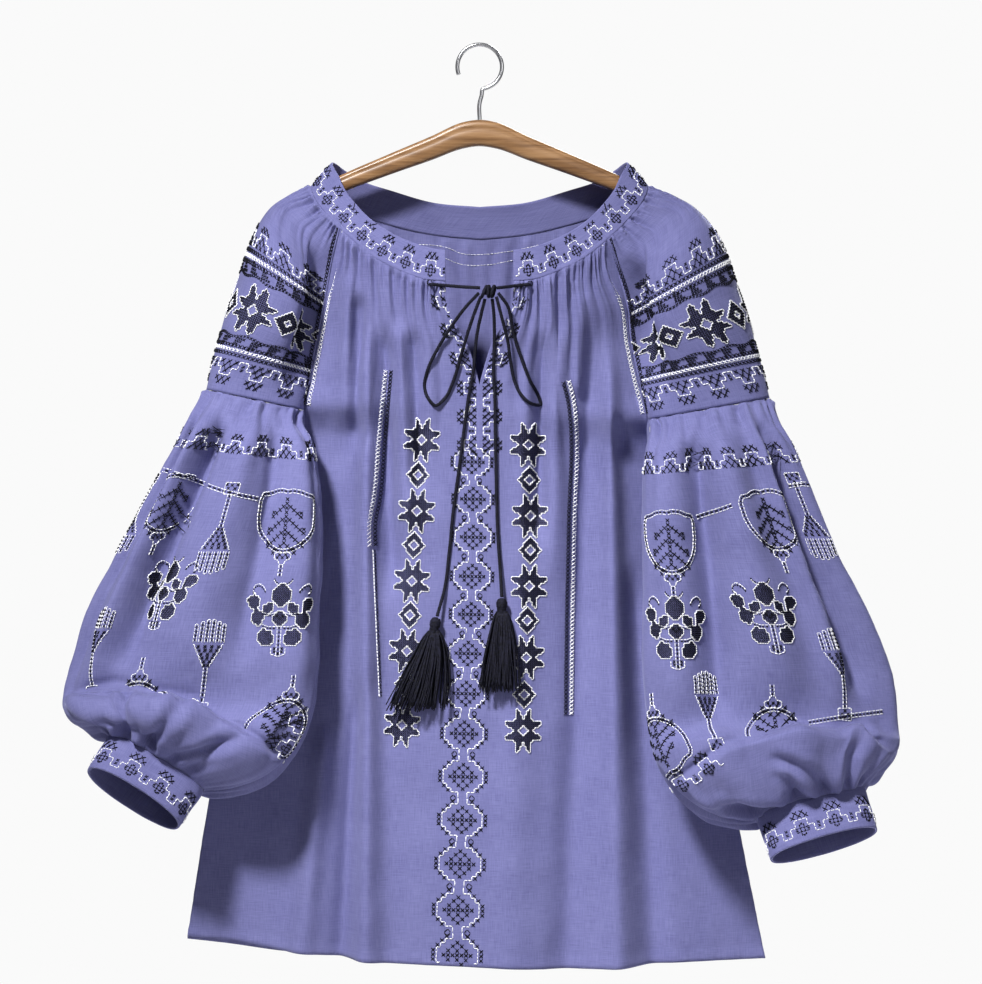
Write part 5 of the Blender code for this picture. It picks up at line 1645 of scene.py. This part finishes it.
# Leaves of the bouquet: middle, half length, half width and slant in degrees
LEAVES = (
    (0, 19, 9.5, 8.4, 0),
    (-10.5, 8.0, 6.2, 4.4, -40),
    (10.5, 8.0, 6.2, 4.4, 40),
    (0, 0, 6.6, 6.4, 0),
    (-24, 13.5, 6.8, 6.0, 55),
    (24, 11.5, 6.8, 6.0, -55),
    (-19.5, 1.0, 7.0, 6.4, 20),
    (19.5, -1.0, 7.0, 6.4, -20),
    (-11.5, -15.5, 8.0, 6.8, 40),
    (11.5, -15.5, 8.0, 6.8, -40),
)


def bouquet_chart(cell=1.75):
    def inside(a, b):
        found = np.zeros(a.shape, bool)
        for x, y, long, wide, slant in LEAVES:
            c, s = math.cos(math.radians(slant)), math.sin(math.radians(slant))
            along = (b - y) * c - (a - x) * s
            across = (a - x) * c + (b - y) * s
            found |= (np.abs(along) / long) ** 1.6 + (np.abs(across) / wide) ** 1.6 < 1
        return found

    chart = Chart()
    chart.patch(inside, 32, cell)
    chart.rail([(0, -6), (0, -30)])
    for sign in (-1, 1):
        chart.path("black", [(sign * 3, 4), (sign * 9, 2), (sign * 16, 4)], 2.4, 0.75, 0.2)
        chart.path("white", [(sign * 3, 5.4), (sign * 9, 3.4), (sign * 16, 5.4)], 2.4, 0.5)
        chart.path("black", [(sign * 3, -8), (sign * 9, -8), (sign * 15, -6)], 2.4, 0.75, 0.2)
        chart.path("white", [(sign * 3, -6.6), (sign * 9, -6.6), (sign * 15, -4.6)], 2.4, 0.5)
        curl = [(sign * a, b) for a, b in ((14, 21), (17, 25), (22, 27), (26, 25), (26.5, 20), (23, 18.5))]
        chart.path("black", curl, 2.6, 0.8, 0.2)
        chart.path("white", [(a, b + 1.7) for a, b in curl], 2.6, 0.5)
        crown = [(sign * a, b) for a, b in ((2, 28), (6, 30), (8, 33))]
        chart.path("black", crown, 2.4, 0.8, 0.2)
        chart.path("white", [(a, b - 1.3) for a, b in crown], 2.4, 0.5)
    chart.crosses([(0, 0), (-1, 0.8), (1, 0.8)], 2.4)
    foot = Chart()
    foot.crosses([(-1.2, 0), (0, -0.6), (1.2, 0), (-1.2, 1), (1.2, 1)], 2.6)
    foot.path("white", [(-6, 3), (-6, -2), (0, -4), (6, -2), (6, 3)], 2.6)
    return chart.place(foot, 0, -27)


def brush_chart(knot=True, flip=False):
    """A hanging brush: knot, stem, widening net and bristles."""
    chart = Chart()
    if knot:
        chart.crosses([(-1, 0), (1, 0), (0, 1), (0, -1), (-1.6, 1.2), (1.6, 1.2)], 2.8)
        chart.path("white", [(-6, 5), (6, 5), (6, -5), (-6, -5), (-6, 5)], 2.8)
    chart.rail([(0, -5), (0, -33)])
    for row in range(6):
        half = 3.0 + 1.65 * row
        count = 2 + row // 2
        b = -34.5 - 3.1 * row
        for k in range(count):
            a = (k - (count - 1) / 2) * 2 * half / count
            chart.cross(a, b, 3.0)
        for sign in (-1, 1):
            edge = [(sign * half, b + 1.6), (sign * half, b - 1.5), (sign * (half + 1.6), b - 1.5)]
            chart.path("white", edge, 2.6, 0.5)
    for k in range(6):
        a = (k - 2.5) * 4.7
        foot = -69 - 2.5 * math.cos((k - 2.5) * 0.9)
        chart.path("black", [(a, -54), (a, foot)], 3.4, 0.8, 0.2, 0.35)
        for sign in (-1, 1):
            chart.path("white", [(a + sign * 1.35, -53), (a + sign * 1.35, foot - 1)], 3.2, 0.42)
        chart.path("white", [(a - 1.35, foot - 1), (a + 1.35, foot - 1)], 3.0, 0.42)
    return Chart().place(chart, flip=True) if flip else chart


# Laying stitches on the cloth

class Ground:
    """A cloth's surface(u, v), measured along both ways, with the finished sheet to lay stitches on."""

    def __init__(self, surface, u, v, facing, item):
        grid_u, grid_v = np.meshgrid(u, v)
        self.points = surface(grid_u, grid_v)
        self.normals = grid_normals(self.points) * facing
        self.across = self.lengths(1)
        self.down = self.lengths(0)
        mesh = item.data
        spots = np.empty(len(mesh.vertices) * 3)
        mesh.vertices.foreach_get("co", spots)
        self.tree = BVHTree.FromPolygons(
            (spots.reshape(-1, 3) / MM).tolist(), [tuple(p.vertices) for p in mesh.polygons]
        )

    def lengths(self, axis):
        step = np.linalg.norm(np.diff(self.points, axis=axis), axis=-1)
        total = np.cumsum(step, axis=axis)
        pad = ((1, 0), (0, 0)) if axis == 0 else ((0, 0), (1, 0))
        return np.pad(total, pad)

    def spot(self, x, z, columns=slice(None)):
        """Row and column of the grid point that faces the viewer at x, z."""
        part = self.points[:, columns]
        hidden = np.where(self.normals[:, columns, 1] < 0, 0, 1e6)
        away = (part[..., 0] - x) ** 2 + (part[..., 2] - z) ** 2 + hidden
        row, column = np.unravel_index(np.argmin(away), away.shape)
        return int(row), int(column) + (columns.start or 0)

    def lay(self, a, b, row, column, direction):
        """Place of chart point a, b round a grid point. `direction` is 1 where u grows to the right."""
        down = self.down[:, column]
        at = np.interp(down[row] - b, down, np.arange(len(down)), left=-1, right=-1)
        if at < 0:
            return None
        i = min(int(at), len(down) - 2)
        share = at - i
        line = self.across[i] * (1 - share) + self.across[i + 1] * share
        j = np.interp(line[column] + direction * a, line, np.arange(len(line)), left=-1, right=-1)
        if j < 0:
            return None
        k = min(int(j), len(line) - 2)
        f = j - k
        corner = (slice(i, i + 2), slice(k, k + 2))
        weight = np.array([[(1 - share) * (1 - f), (1 - share) * f], [share * (1 - f), share * f]])[..., None]
        return self.drop((self.points[corner] * weight).sum((0, 1)), (self.normals[corner] * weight).sum((0, 1)))

    def lay_round(self, a, b, row):
        """Place of chart point a, b on a border that goes all the way along one row."""
        line = self.across[row]
        j = np.interp(a, line, np.arange(len(line)), left=-1, right=-1)
        if j < 0:
            return None
        column = min(int(j), len(line) - 2)
        down = self.down[:, column]
        at = np.interp(down[row] - b, down, np.arange(len(down)), left=-1, right=-1)
        if at < 0:
            return None
        i = min(int(at), len(down) - 2)
        f = j - column
        upper = self.points[i, column] * (1 - f) + self.points[i, column + 1] * f
        lower = self.points[i + 1, column] * (1 - f) + self.points[i + 1, column + 1] * f
        return self.drop(upper + (lower - upper) * (at - i), self.normals[i, column])

    def course(self, points):
        """Chart laid along a line of picture places as the viewer sees it, b to the left of its way."""
        line = np.array([seen(*p) for p in points])
        knots = running_length(line)

        def where(a, b):
            x, z = smooth_curve(knots, line, a)
            x1, z1 = smooth_curve(knots, line, a + 0.5)
            x0, z0 = smooth_curve(knots, line, a - 0.5)
            size = math.hypot(x1 - x0, z1 - z0) or 1.0
            return self.front(x - b * (z1 - z0) / size, z + b * (x1 - x0) / size)

        return where, knots[-1]

    def drop(self, point, normal, reach=14.0):
        """The finished sheet under a point, and the way out of it."""
        normal = Vector(normal).normalized()
        found, way, _, _ = self.tree.ray_cast(Vector(point) + normal * reach, -normal, 2 * reach)
        if found is None:
            return None
        return found, (way if way.dot(normal) > 0 else -way)

    def front(self, x, z):
        found, way, _, _ = self.tree.ray_cast(Vector((x, -300.0, z)), Vector((0, 1, 0)), 500.0)
        if found is None:
            return None
        return found, (way if way.y < 0 else -way)


class Threads:
    """Collects laid stitches by colour, and makes one mesh of each colour for a piece of cloth."""

    def __init__(self, node):
        self.node = node
        self.rows = {"black": [], "white": []}

    def add(self, chart, where):
        for colour, rows in chart.rows.items():
            for a0, b0, a1, b1, radius, lift in rows:
                start, stop = where(a0, b0), where(a1, b1)
                if start is None or stop is None:
                    continue
                if (start[0] - stop[0]).length > 2.2 * math.hypot(a1 - a0, b1 - b0) + 1.5:
                    continue
                self.rows[colour].append((*start[0], *stop[0], *(start[1] + stop[1]), radius, lift))

    def pieces(self, materials):
        made = []
        for colour, rows in self.rows.items():
            if not rows:
                continue
            item = stitch_mesh("stitches_%s_%s" % (colour, self.node), np.array(rows), materials[colour])
            made.append(item)
        return made


def stitch_mesh(name, rows, material):
    """Each stitch is a closed three-sided thread that rises from the cloth and goes back into it."""
    start, stop, normal = rows[:, 0:3], rows[:, 3:6], rows[:, 6:9]
    radius, lift = rows[:, 9:10], rows[:, 10:11]
    normal = normal / np.linalg.norm(normal, axis=1, keepdims=True)
    along = stop - start
    side = np.cross(along, normal)
    side = side / np.maximum(np.linalg.norm(side, axis=1, keepdims=True), 1e-9)
    sections = []
    for share in (0.2, 0.8):
        middle = start + along * share + normal * lift
        for angle in (90, 215, 325):
            c, s = math.cos(math.radians(angle)), math.sin(math.radians(angle))
            sections.append(middle + side * radius * c + normal * radius * s)
    points = np.stack([start - normal * 0.05, *sections, stop - normal * 0.05], axis=1)
    faces = np.array(
        [
            (0, 2, 1), (0, 3, 2), (0, 1, 3),
            (1, 2, 5), (1, 5, 4), (2, 3, 6), (2, 6, 5), (3, 1, 4), (3, 4, 6),
            (7, 4, 5), (7, 5, 6), (7, 6, 4),
        ]
    )
    whole = (faces[None] + 8 * np.arange(len(rows))[:, None, None]).reshape(-1, 3)
    mesh = bpy.data.meshes.new(name)
    mesh.from_pydata((points.reshape(-1, 3) * MM).tolist(), [], whole.tolist())
    return added(name, mesh, material)


MEDALLIONS = (
    (472, 462), (473, 499), (473, 537), (472, 576), (471, 614), (468, 653), (466, 693),
    (464, 733), (463, 776), (462, 819), (460, 863), (458, 909), (457, 954),
)
STARS = {
    "left": ((422, 440), (417, 511), (412, 581), (407, 651), (402, 725)),
    "right": ((528, 445), (530, 516), (529, 586), (526, 657), (523, 730)),
}
DIAMONDS = {
    "left": ((418, 475), (414, 545), (410, 615), (406, 684)),
    "right": ((529, 480), (530, 550), (527, 620), (524, 694)),
}
# Courses of the two long braids, and of the white line that goes on below the left one
SIDE_BRAIDS = {
    "left": ((388, 370), (381, 440), (376, 500), (372, 521), (373, 560), (376, 630), (379, 697)),
    "right": ((566, 381), (571, 401), (573.5, 421), (572, 520), (570, 620), (569, 717)),
}


# Elastic threads seen inside the back, as lines of places in the photograph's frame
BACK_THREADS = (
    ((400, 239), (444, 242), (463, 249), (487, 249), (517, 245), (560, 235)),
    ((440, 252), (463, 260), (487, 260), (520, 254)),
)
EYELETS = ((430, 284), (530, 285))


def back_embroidery(ground):
    threads = Threads("back")
    for points in BACK_THREADS:
        where, length = ground.course(points)
        line = Chart()
        line.path("white", [(0, 0), (length, 0)], 2.8, 0.34)
        threads.add(line, where)
    return threads


RAGLAN_LENGTH = 152.0


def front_embroidery(ground):
    threads = Threads("front")

    def round_spot(px, py, lean=0.0):
        x, z = seen(px, py)
        c, s = math.cos(math.radians(lean)), math.sin(math.radians(lean))
        return lambda a, b: ground.front(x + a * c - b * s, z + a * s + b * c)

    spots = np.array(MEDALLIONS, float)
    pitches = np.gradient(spots[:, 1]) * PICTURE_SCALE
    for (px, py), pitch in zip(MEDALLIONS, pitches):
        threads.add(medallion_chart(pitch / 10.0), round_spot(px, py, -1.8))
    star, diamond = star_chart(14.8, 17.8, 1.72), ring_chart(9.4, 12.0, 1.72)
    for side in SIDES:
        lean = -3.5 if side == "left" else -0.8
        for px, py in STARS[side]:
            threads.add(star, round_spot(px, py, lean))
        for px, py in DIAMONDS[side]:
            threads.add(diamond, round_spot(px, py, lean))
    where, length = ground.course(SIDE_BRAIDS["right"])
    threads.add(braid_chart(length, 3.2, (("black", -2.8, 3.6), ("white", 2.0, 4.2))), where)
    where, length = ground.course(SIDE_BRAIDS["left"])
    threads.add(braid_chart(length * 0.55, 3.2, (("white", -2.0, 4.2), ("black", 2.8, 3.6))), where)
    rest = Chart()
    rest.path("white", [(length * 0.55, 0.2), (length, 0.2)], 3.0, 0.5)
    rest.path("black", [(length * 0.55, 1.8), (length, 1.8)], 3.0, 0.6)
    threads.add(rest, where)
    for px, py in EYELETS:
        ring = [(2.1 * math.cos(k * math.pi / 5), 2.1 * math.sin(k * math.pi / 5)) for k in range(11)]
        eyelet = Chart()
        eyelet.path("black", ring, 1.4, 0.6)
        threads.add(eyelet, round_spot(px, py))
    # Zigzag borders down both sides of the slit
    for side, sign in (("left", -1), ("right", 1)):
        border = border_chart(6, 2.95, 2.55, False)

        def where(a, b, sign=sign):
            z = -205.0 - a
            return ground.front(sign * (float(slit_half(z)) + 3.2 + b * 0.98), z)

        threads.add(border, where)
    # Braid along the front edge of the raglan seams
    braid = braid_chart(RAGLAN_LENGTH, 3.2, (("white", 0, 4.4),))
    last = ground.points.shape[1] - 1
    threads.add(braid, lambda a, b: ground.lay(3.2 + b, -a, 0, 0, 1))
    threads.add(braid, lambda a, b: ground.lay(-3.2 - b, -a, 0, last, 1))
    return threads


def band_embroidery(ground):
    threads = Threads("neckband")
    row = len(ground.points) - 1
    length = ground.across[row][-1]
    count = 27
    cell = length / (count * BORDER_WIDTH + 1.0)
    border = border_chart(count, cell, 3.2, True, cell * 0.5)
    threads.add(border, lambda a, b: ground.lay_round(a, b + 4.2, row))
    return threads


def cuff_embroidery(side, ground):
    threads = Threads("cuff_" + side)
    row = len(ground.points) - 1
    length = ground.across[row][-1]
    count = 8
    border = border_chart(count, length / (count * BORDER_WIDTH), 3.5, True)
    threads.add(border, lambda a, b: ground.lay_round(a, b + 6.0, row))
    return threads


def upper_embroidery(side, ground):
    threads = Threads("sleeve_upper_" + side)
    direction = sleeve_sign(side)
    foot = len(ground.points) - 1
    star_spot = ground.spot(*(seen(259, 300) if side == "left" else seen(697, 309)))
    column = star_spot[1]

    def where(a, b):
        return ground.lay(a, b, foot, column, direction)

    wide = 150
    repeats = int(2 * wide / (BORDER_WIDTH * 3.5))
    low = border_chart(repeats, 3.5, 3.6, False, -wide)
    threads.add(Chart().place(low, 0, 29, flip=True), where)
    high = border_chart(repeats, 3.5, 3.6, False, -wide + 10)
    threads.add(Chart().place(high, 0, 122), where)
    bands = Chart()
    for middle in (38.5, 114.5):
        for offset, colour in ((-4.1, "black"), (0, "white"), (4.1, "black")):
            for k in range(int(2 * wide / 3.9)):
                bands.cross(-wide + k * 3.9, middle + offset, 4.0, colour)
    threads.add(bands, where)
    star, diamond = star_chart(20.5, 19.5, 2.2), ring_chart(11.5, 12.5, 2.2, 0.25)
    motifs = Chart()
    for k in range(-3, 4):
        motifs.place(star, 66 * k, 76)
        motifs.place(diamond, 66 * k + 33, 76)
    motifs.place(scroll_chart(2 * wide, 3.1, -wide), 0, 51.5)
    motifs.place(scroll_chart(2 * wide, 3.1, -wide), 0, 101.5, flip=True)
    threads.add(motifs, where)
    # Braid along the sleeve's edge of the front raglan seam
    edge = braid_chart(RAGLAN_LENGTH, 3.2, (("black", 0, 4.0),))
    threads.add(edge, lambda a, b: ground.lay(direction * (3.0 + b), -a, 0, 0, direction))
    return threads


# Sleeve motifs at their places in the photograph's frame
SLEEVE_MOTIFS = {
    "left": (
        ("shield", 290, 494), ("bouquet", 283, 617), ("shield_up", 270, 742),
        ("brush", 236, 488), ("brush_up", 204, 700),
        ("shield", 187, 478), ("bouquet", 167, 592), ("shield_up", 150, 715),
        ("brush", 142, 470), ("brush_up", 95, 690),
    ),
    "right": (
        ("shield", 663, 514), ("bouquet", 672, 630), ("shield_up", 668, 765),
        ("shield", 757, 493), ("bouquet", 766, 614), ("shield_up", 772, 740),
        ("brush", 790, 478), ("brush_up", 712, 738), ("brush_up", 841, 712),
    ),
}
LOWER_BORDER = {"left": (300, 460), "right": (700, 470)}
# Chain lines and low borders, as lines of places in the photograph's frame
CHAINS = {
    "left": (((150, 466), (183, 475), (224, 490), (262, 499)),),
    "right": (
        ((694, 517), (712, 511), (728, 505)), ((786, 486), (800, 484), (812, 485)),
        ((803, 719), (838, 714), (880, 710)),
    ),
}
GATHER_BORDERS = {
    "left": (((285, 760), (300, 738), (312, 700)),),
    "right": (((668, 792), (700, 770), (738, 738)),),
}


def lower_embroidery(side, ground):
    threads = Threads("sleeve_lower_" + side)
    direction = sleeve_sign(side)
    charts = {
        "shield": shield_chart(), "shield_up": shield_chart(True), "bouquet": bouquet_chart(),
        "brush": brush_chart(), "brush_up": brush_chart(True, True),
    }
    half = slice(4, ground.points.shape[1] // 2 + 6)
    for name, px, py in SLEEVE_MOTIFS[side]:
        row, column = ground.spot(*seen(px, py), half)

        def where(a, b):
            spot = ground.lay(a, b, row, column, direction)
            return spot if spot is not None and below_crest(side, spot[0].x, spot[0].z) < -1 else None

        threads.add(charts[name], where)
    # Border below the elbow seam, right round the sleeve
    row, column = ground.spot(*seen(*LOWER_BORDER[side]), half)
    length = ground.across[row][-1]
    count = int(length / (BORDER_WIDTH * 3.15))
    cell = length / (count * BORDER_WIDTH)
    border = border_chart(count, cell, 3.0, False)
    threads.add(border, lambda a, b: ground.lay_round(a, b, row))
    for points in CHAINS[side]:
        where, length = ground.course(points)
        rail = Chart()
        rail.rail([(k, 0) for k in np.linspace(0, length, max(2, int(length / 8)))])
        threads.add(rail, where)
    for points in GATHER_BORDERS[side]:
        where, length = ground.course(points)
        cell = 3.2
        threads.add(border_chart(int(length / (cell * BORDER_WIDTH)), cell, 3.1, True), where)
    return threads


# The whole object

CLOTH_DARK = (0.092, 0.093, 0.228)
CLOTH_MIDDLE = (0.126, 0.127, 0.284)
CLOTH_LIGHT = (0.162, 0.164, 0.344)

cloth_material = chambray("chambray", CLOTH_DARK, CLOTH_MIDDLE, CLOTH_LIGHT)
black_thread = thread_material("black_thread", (0.001, 0.001, 0.003), (0.006, 0.006, 0.014), 0.8)
white_thread = thread_material("white_thread", (0.80, 0.80, 0.84), (0.95, 0.95, 0.97), 0.6)
cord_black = thread_material("cord_black", (0.001, 0.001, 0.003), (0.008, 0.008, 0.020), 0.8, 600)

front = body_cloth("front", cloth_material)
back = body_cloth("back", cloth_material)
band = band_cloth(cloth_material)
uppers = {side: upper_cloth(side, cloth_material) for side in SIDES}
lowers = {side: lower_cloth(side, cloth_material) for side in SIDES}
cuffs = {side: cuff_cloth(side, cloth_material) for side in SIDES}

hanger_piece(wood_material())
hook_piece(steel_material())
knot = tie_knot_piece(cord_black)
for side in SIDES:
    tassel_piece(side, cord_black)

CORDS = (
    ("bridge_left", BRIDGE_LEFT, "knot", [knot]),
    ("bridge_right", BRIDGE_RIGHT, "knot", []),
    ("loop_left", LOOP_LEFT, "object", []),
    ("loop_right", LOOP_RIGHT, "object", []),
    ("tail_left", TAIL_LEFT, "knot", []),
    ("tail_right", TAIL_RIGHT, "knot", []),
)
for name, table, far_end, pieces in CORDS:
    tie_cord(name, table, far_end, pieces, cord_black)

threads_of = {"black": black_thread, "white": white_thread}
side_u = np.linspace(0, 1, 241)
stitched = {
    "back": back_embroidery(Ground(panel_surface("back"), np.linspace(-1, 1, 9), np.linspace(0, 1, 9), 1, back)),
    "front": front_embroidery(
        Ground(panel_surface("front"), np.linspace(-1, 1, 241), np.linspace(0, 1, 281), -1, front)
    ),
    "neckband": band_embroidery(
        Ground(
            lambda u, v: band_point(u * 2 * HALF_BAND, 1 - v), np.linspace(0, 1, 481), np.linspace(0, 1, 21), 1, band
        )
    ),
}
SLEEVE_PARTS = (
    ("sleeve_upper_", lambda side: lambda u, v: upper_point(side, u, v), (1, 181), uppers, upper_embroidery),
    (
        "sleeve_lower_", lambda side: lambda u, v: lower_point(side, u % 1.0, v), (RINGS - 1, 331), lowers,
        lower_embroidery,
    ),
    ("cuff_", lambda side: lambda u, v: cuff_point(side, u % 1.0, v), (1, 21), cuffs, cuff_embroidery),
)
for side in SIDES:
    for name, surface_of, (last, count), pieces, embroider in SLEEVE_PARTS:
        v = np.linspace(0, last, count)
        ground = Ground(surface_of(side), side_u, v, -sleeve_sign(side), pieces[side])
        stitched[name + side] = embroider(side, ground)
sewn = {node: threads.pieces(threads_of) for node, threads in stitched.items()}
for face in ("front", "back"):
    sewn[face] += [seam_strip(face, side, cloth_material) for side in SIDES]

# Flat cuts before gathering: width, length and area of each piece, in metres
CUTS = {
    "front": (front, (0.54, 0.60), 0.270, "gathered"),
    "back": (back, (0.54, 0.64), 0.285, "gathered"),
    "neckband": (band, (0.60, 0.028), None, "hung"),
    "sleeve_upper_left": (uppers["left"], (0.27, 0.21), 0.046, "gathered"),
    "sleeve_upper_right": (uppers["right"], (0.27, 0.21), 0.052, "gathered"),
    "sleeve_lower_left": (lowers["left"], (0.50, 0.36), 0.165, "gathered"),
    "sleeve_lower_right": (lowers["right"], (0.50, 0.38), 0.175, "gathered"),
    "cuff_left": (cuffs["left"], (0.22, 0.038), None, "hung"),
    "cuff_right": (cuffs["right"], (0.22, 0.038), None, "hung"),
}
for node, (item, flat, area, held) in CUTS.items():
    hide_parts(node)


# Stage, light and camera

FLOOR_RADIUS = 2.4
FLOOR_Z = -1.3


def stage_floor():
    material, tree, shader = new_material("floor_paper", 0.9)
    coordinates = tree.nodes.new("ShaderNodeTexCoord").outputs["Object"]
    soft = socket_noise(tree, coordinates, (2, 2, 2), 3, 0.5)
    stops = ((0.3, (0.86, 0.86, 0.86)), (0.7, (0.9, 0.9, 0.9)))
    tree.links.new(socket_ramp(tree, soft, stops), shader.inputs["Base Color"])
    shader.inputs["Emission Color"].default_value = (1, 1, 1, 1)
    shader.inputs["Emission Strength"].default_value = 0.42
    mesh = bpy.data.meshes.new("floor")
    count = 96
    turns = [2 * math.pi * k / count for k in range(count)]
    ring = [(FLOOR_RADIUS * math.cos(turn), FLOOR_RADIUS * math.sin(turn), FLOOR_Z) for turn in turns]
    mesh.from_pydata(ring, [], [list(range(count))])
    mesh.materials.append(material)
    floor = bpy.data.objects.new("floor", mesh)
    bpy.context.scene.collection.objects.link(floor)


def area_light(name, place, target, size, power, spread=math.pi):
    data = bpy.data.lights.new(name, "AREA")
    data.spread = spread
    data.shape = "DISK"
    data.size = size
    data.energy = power
    item = bpy.data.objects.new(name, data)
    item.location = place
    item.rotation_euler = (Vector(target) - Vector(place)).to_track_quat("-Z", "Y").to_euler()
    bpy.context.scene.collection.objects.link(item)


def studio_world():
    """Soft even light, with a nearly white surround where the camera looks past the object."""
    world = bpy.data.worlds.new("studio")
    world.use_nodes = True
    tree = world.node_tree
    seen = tree.nodes["Background"]
    seen.inputs["Color"].default_value = (0.956, 0.956, 0.956, 1)
    light = tree.nodes.new("ShaderNodeBackground")
    light.inputs["Color"].default_value = (0.93, 0.95, 1.0, 1)
    light.inputs["Strength"].default_value = 0.13
    path = tree.nodes.new("ShaderNodeLightPath")
    mix = tree.nodes.new("ShaderNodeMixShader")
    tree.links.new(path.outputs["Is Camera Ray"], mix.inputs["Fac"])
    tree.links.new(light.outputs["Background"], mix.inputs[1])
    tree.links.new(seen.outputs["Background"], mix.inputs[2])
    tree.links.new(mix.outputs["Shader"], tree.nodes["World Output"].inputs["Surface"])
    bpy.context.scene.world = world


stage_floor()
area_light("key", (-1.05, -2.2, 1.8), (0.03, 0, -0.56), 0.5, 5.3, spread=math.radians(26))
area_light("fill", (1.6, -2.6, 0.3), (0, 0, -0.4), 1.4, 12)
area_light("behind", (0.9, 2.4, 1.3), (0, 0, -0.4), 1.2, 70)
studio_world()
bpy.context.scene.view_settings.view_transform = "Standard"

camera_data = bpy.data.cameras.new("camera")
camera_data.lens = 132.2
camera_data.sensor_width = 36
camera = bpy.data.objects.new("camera", camera_data)
camera.location = (0.0095, -3.03, -0.3735)
camera.rotation_euler = (math.radians(90), 0, 0)
bpy.context.scene.collection.objects.link(camera)
bpy.context.scene.camera = camera
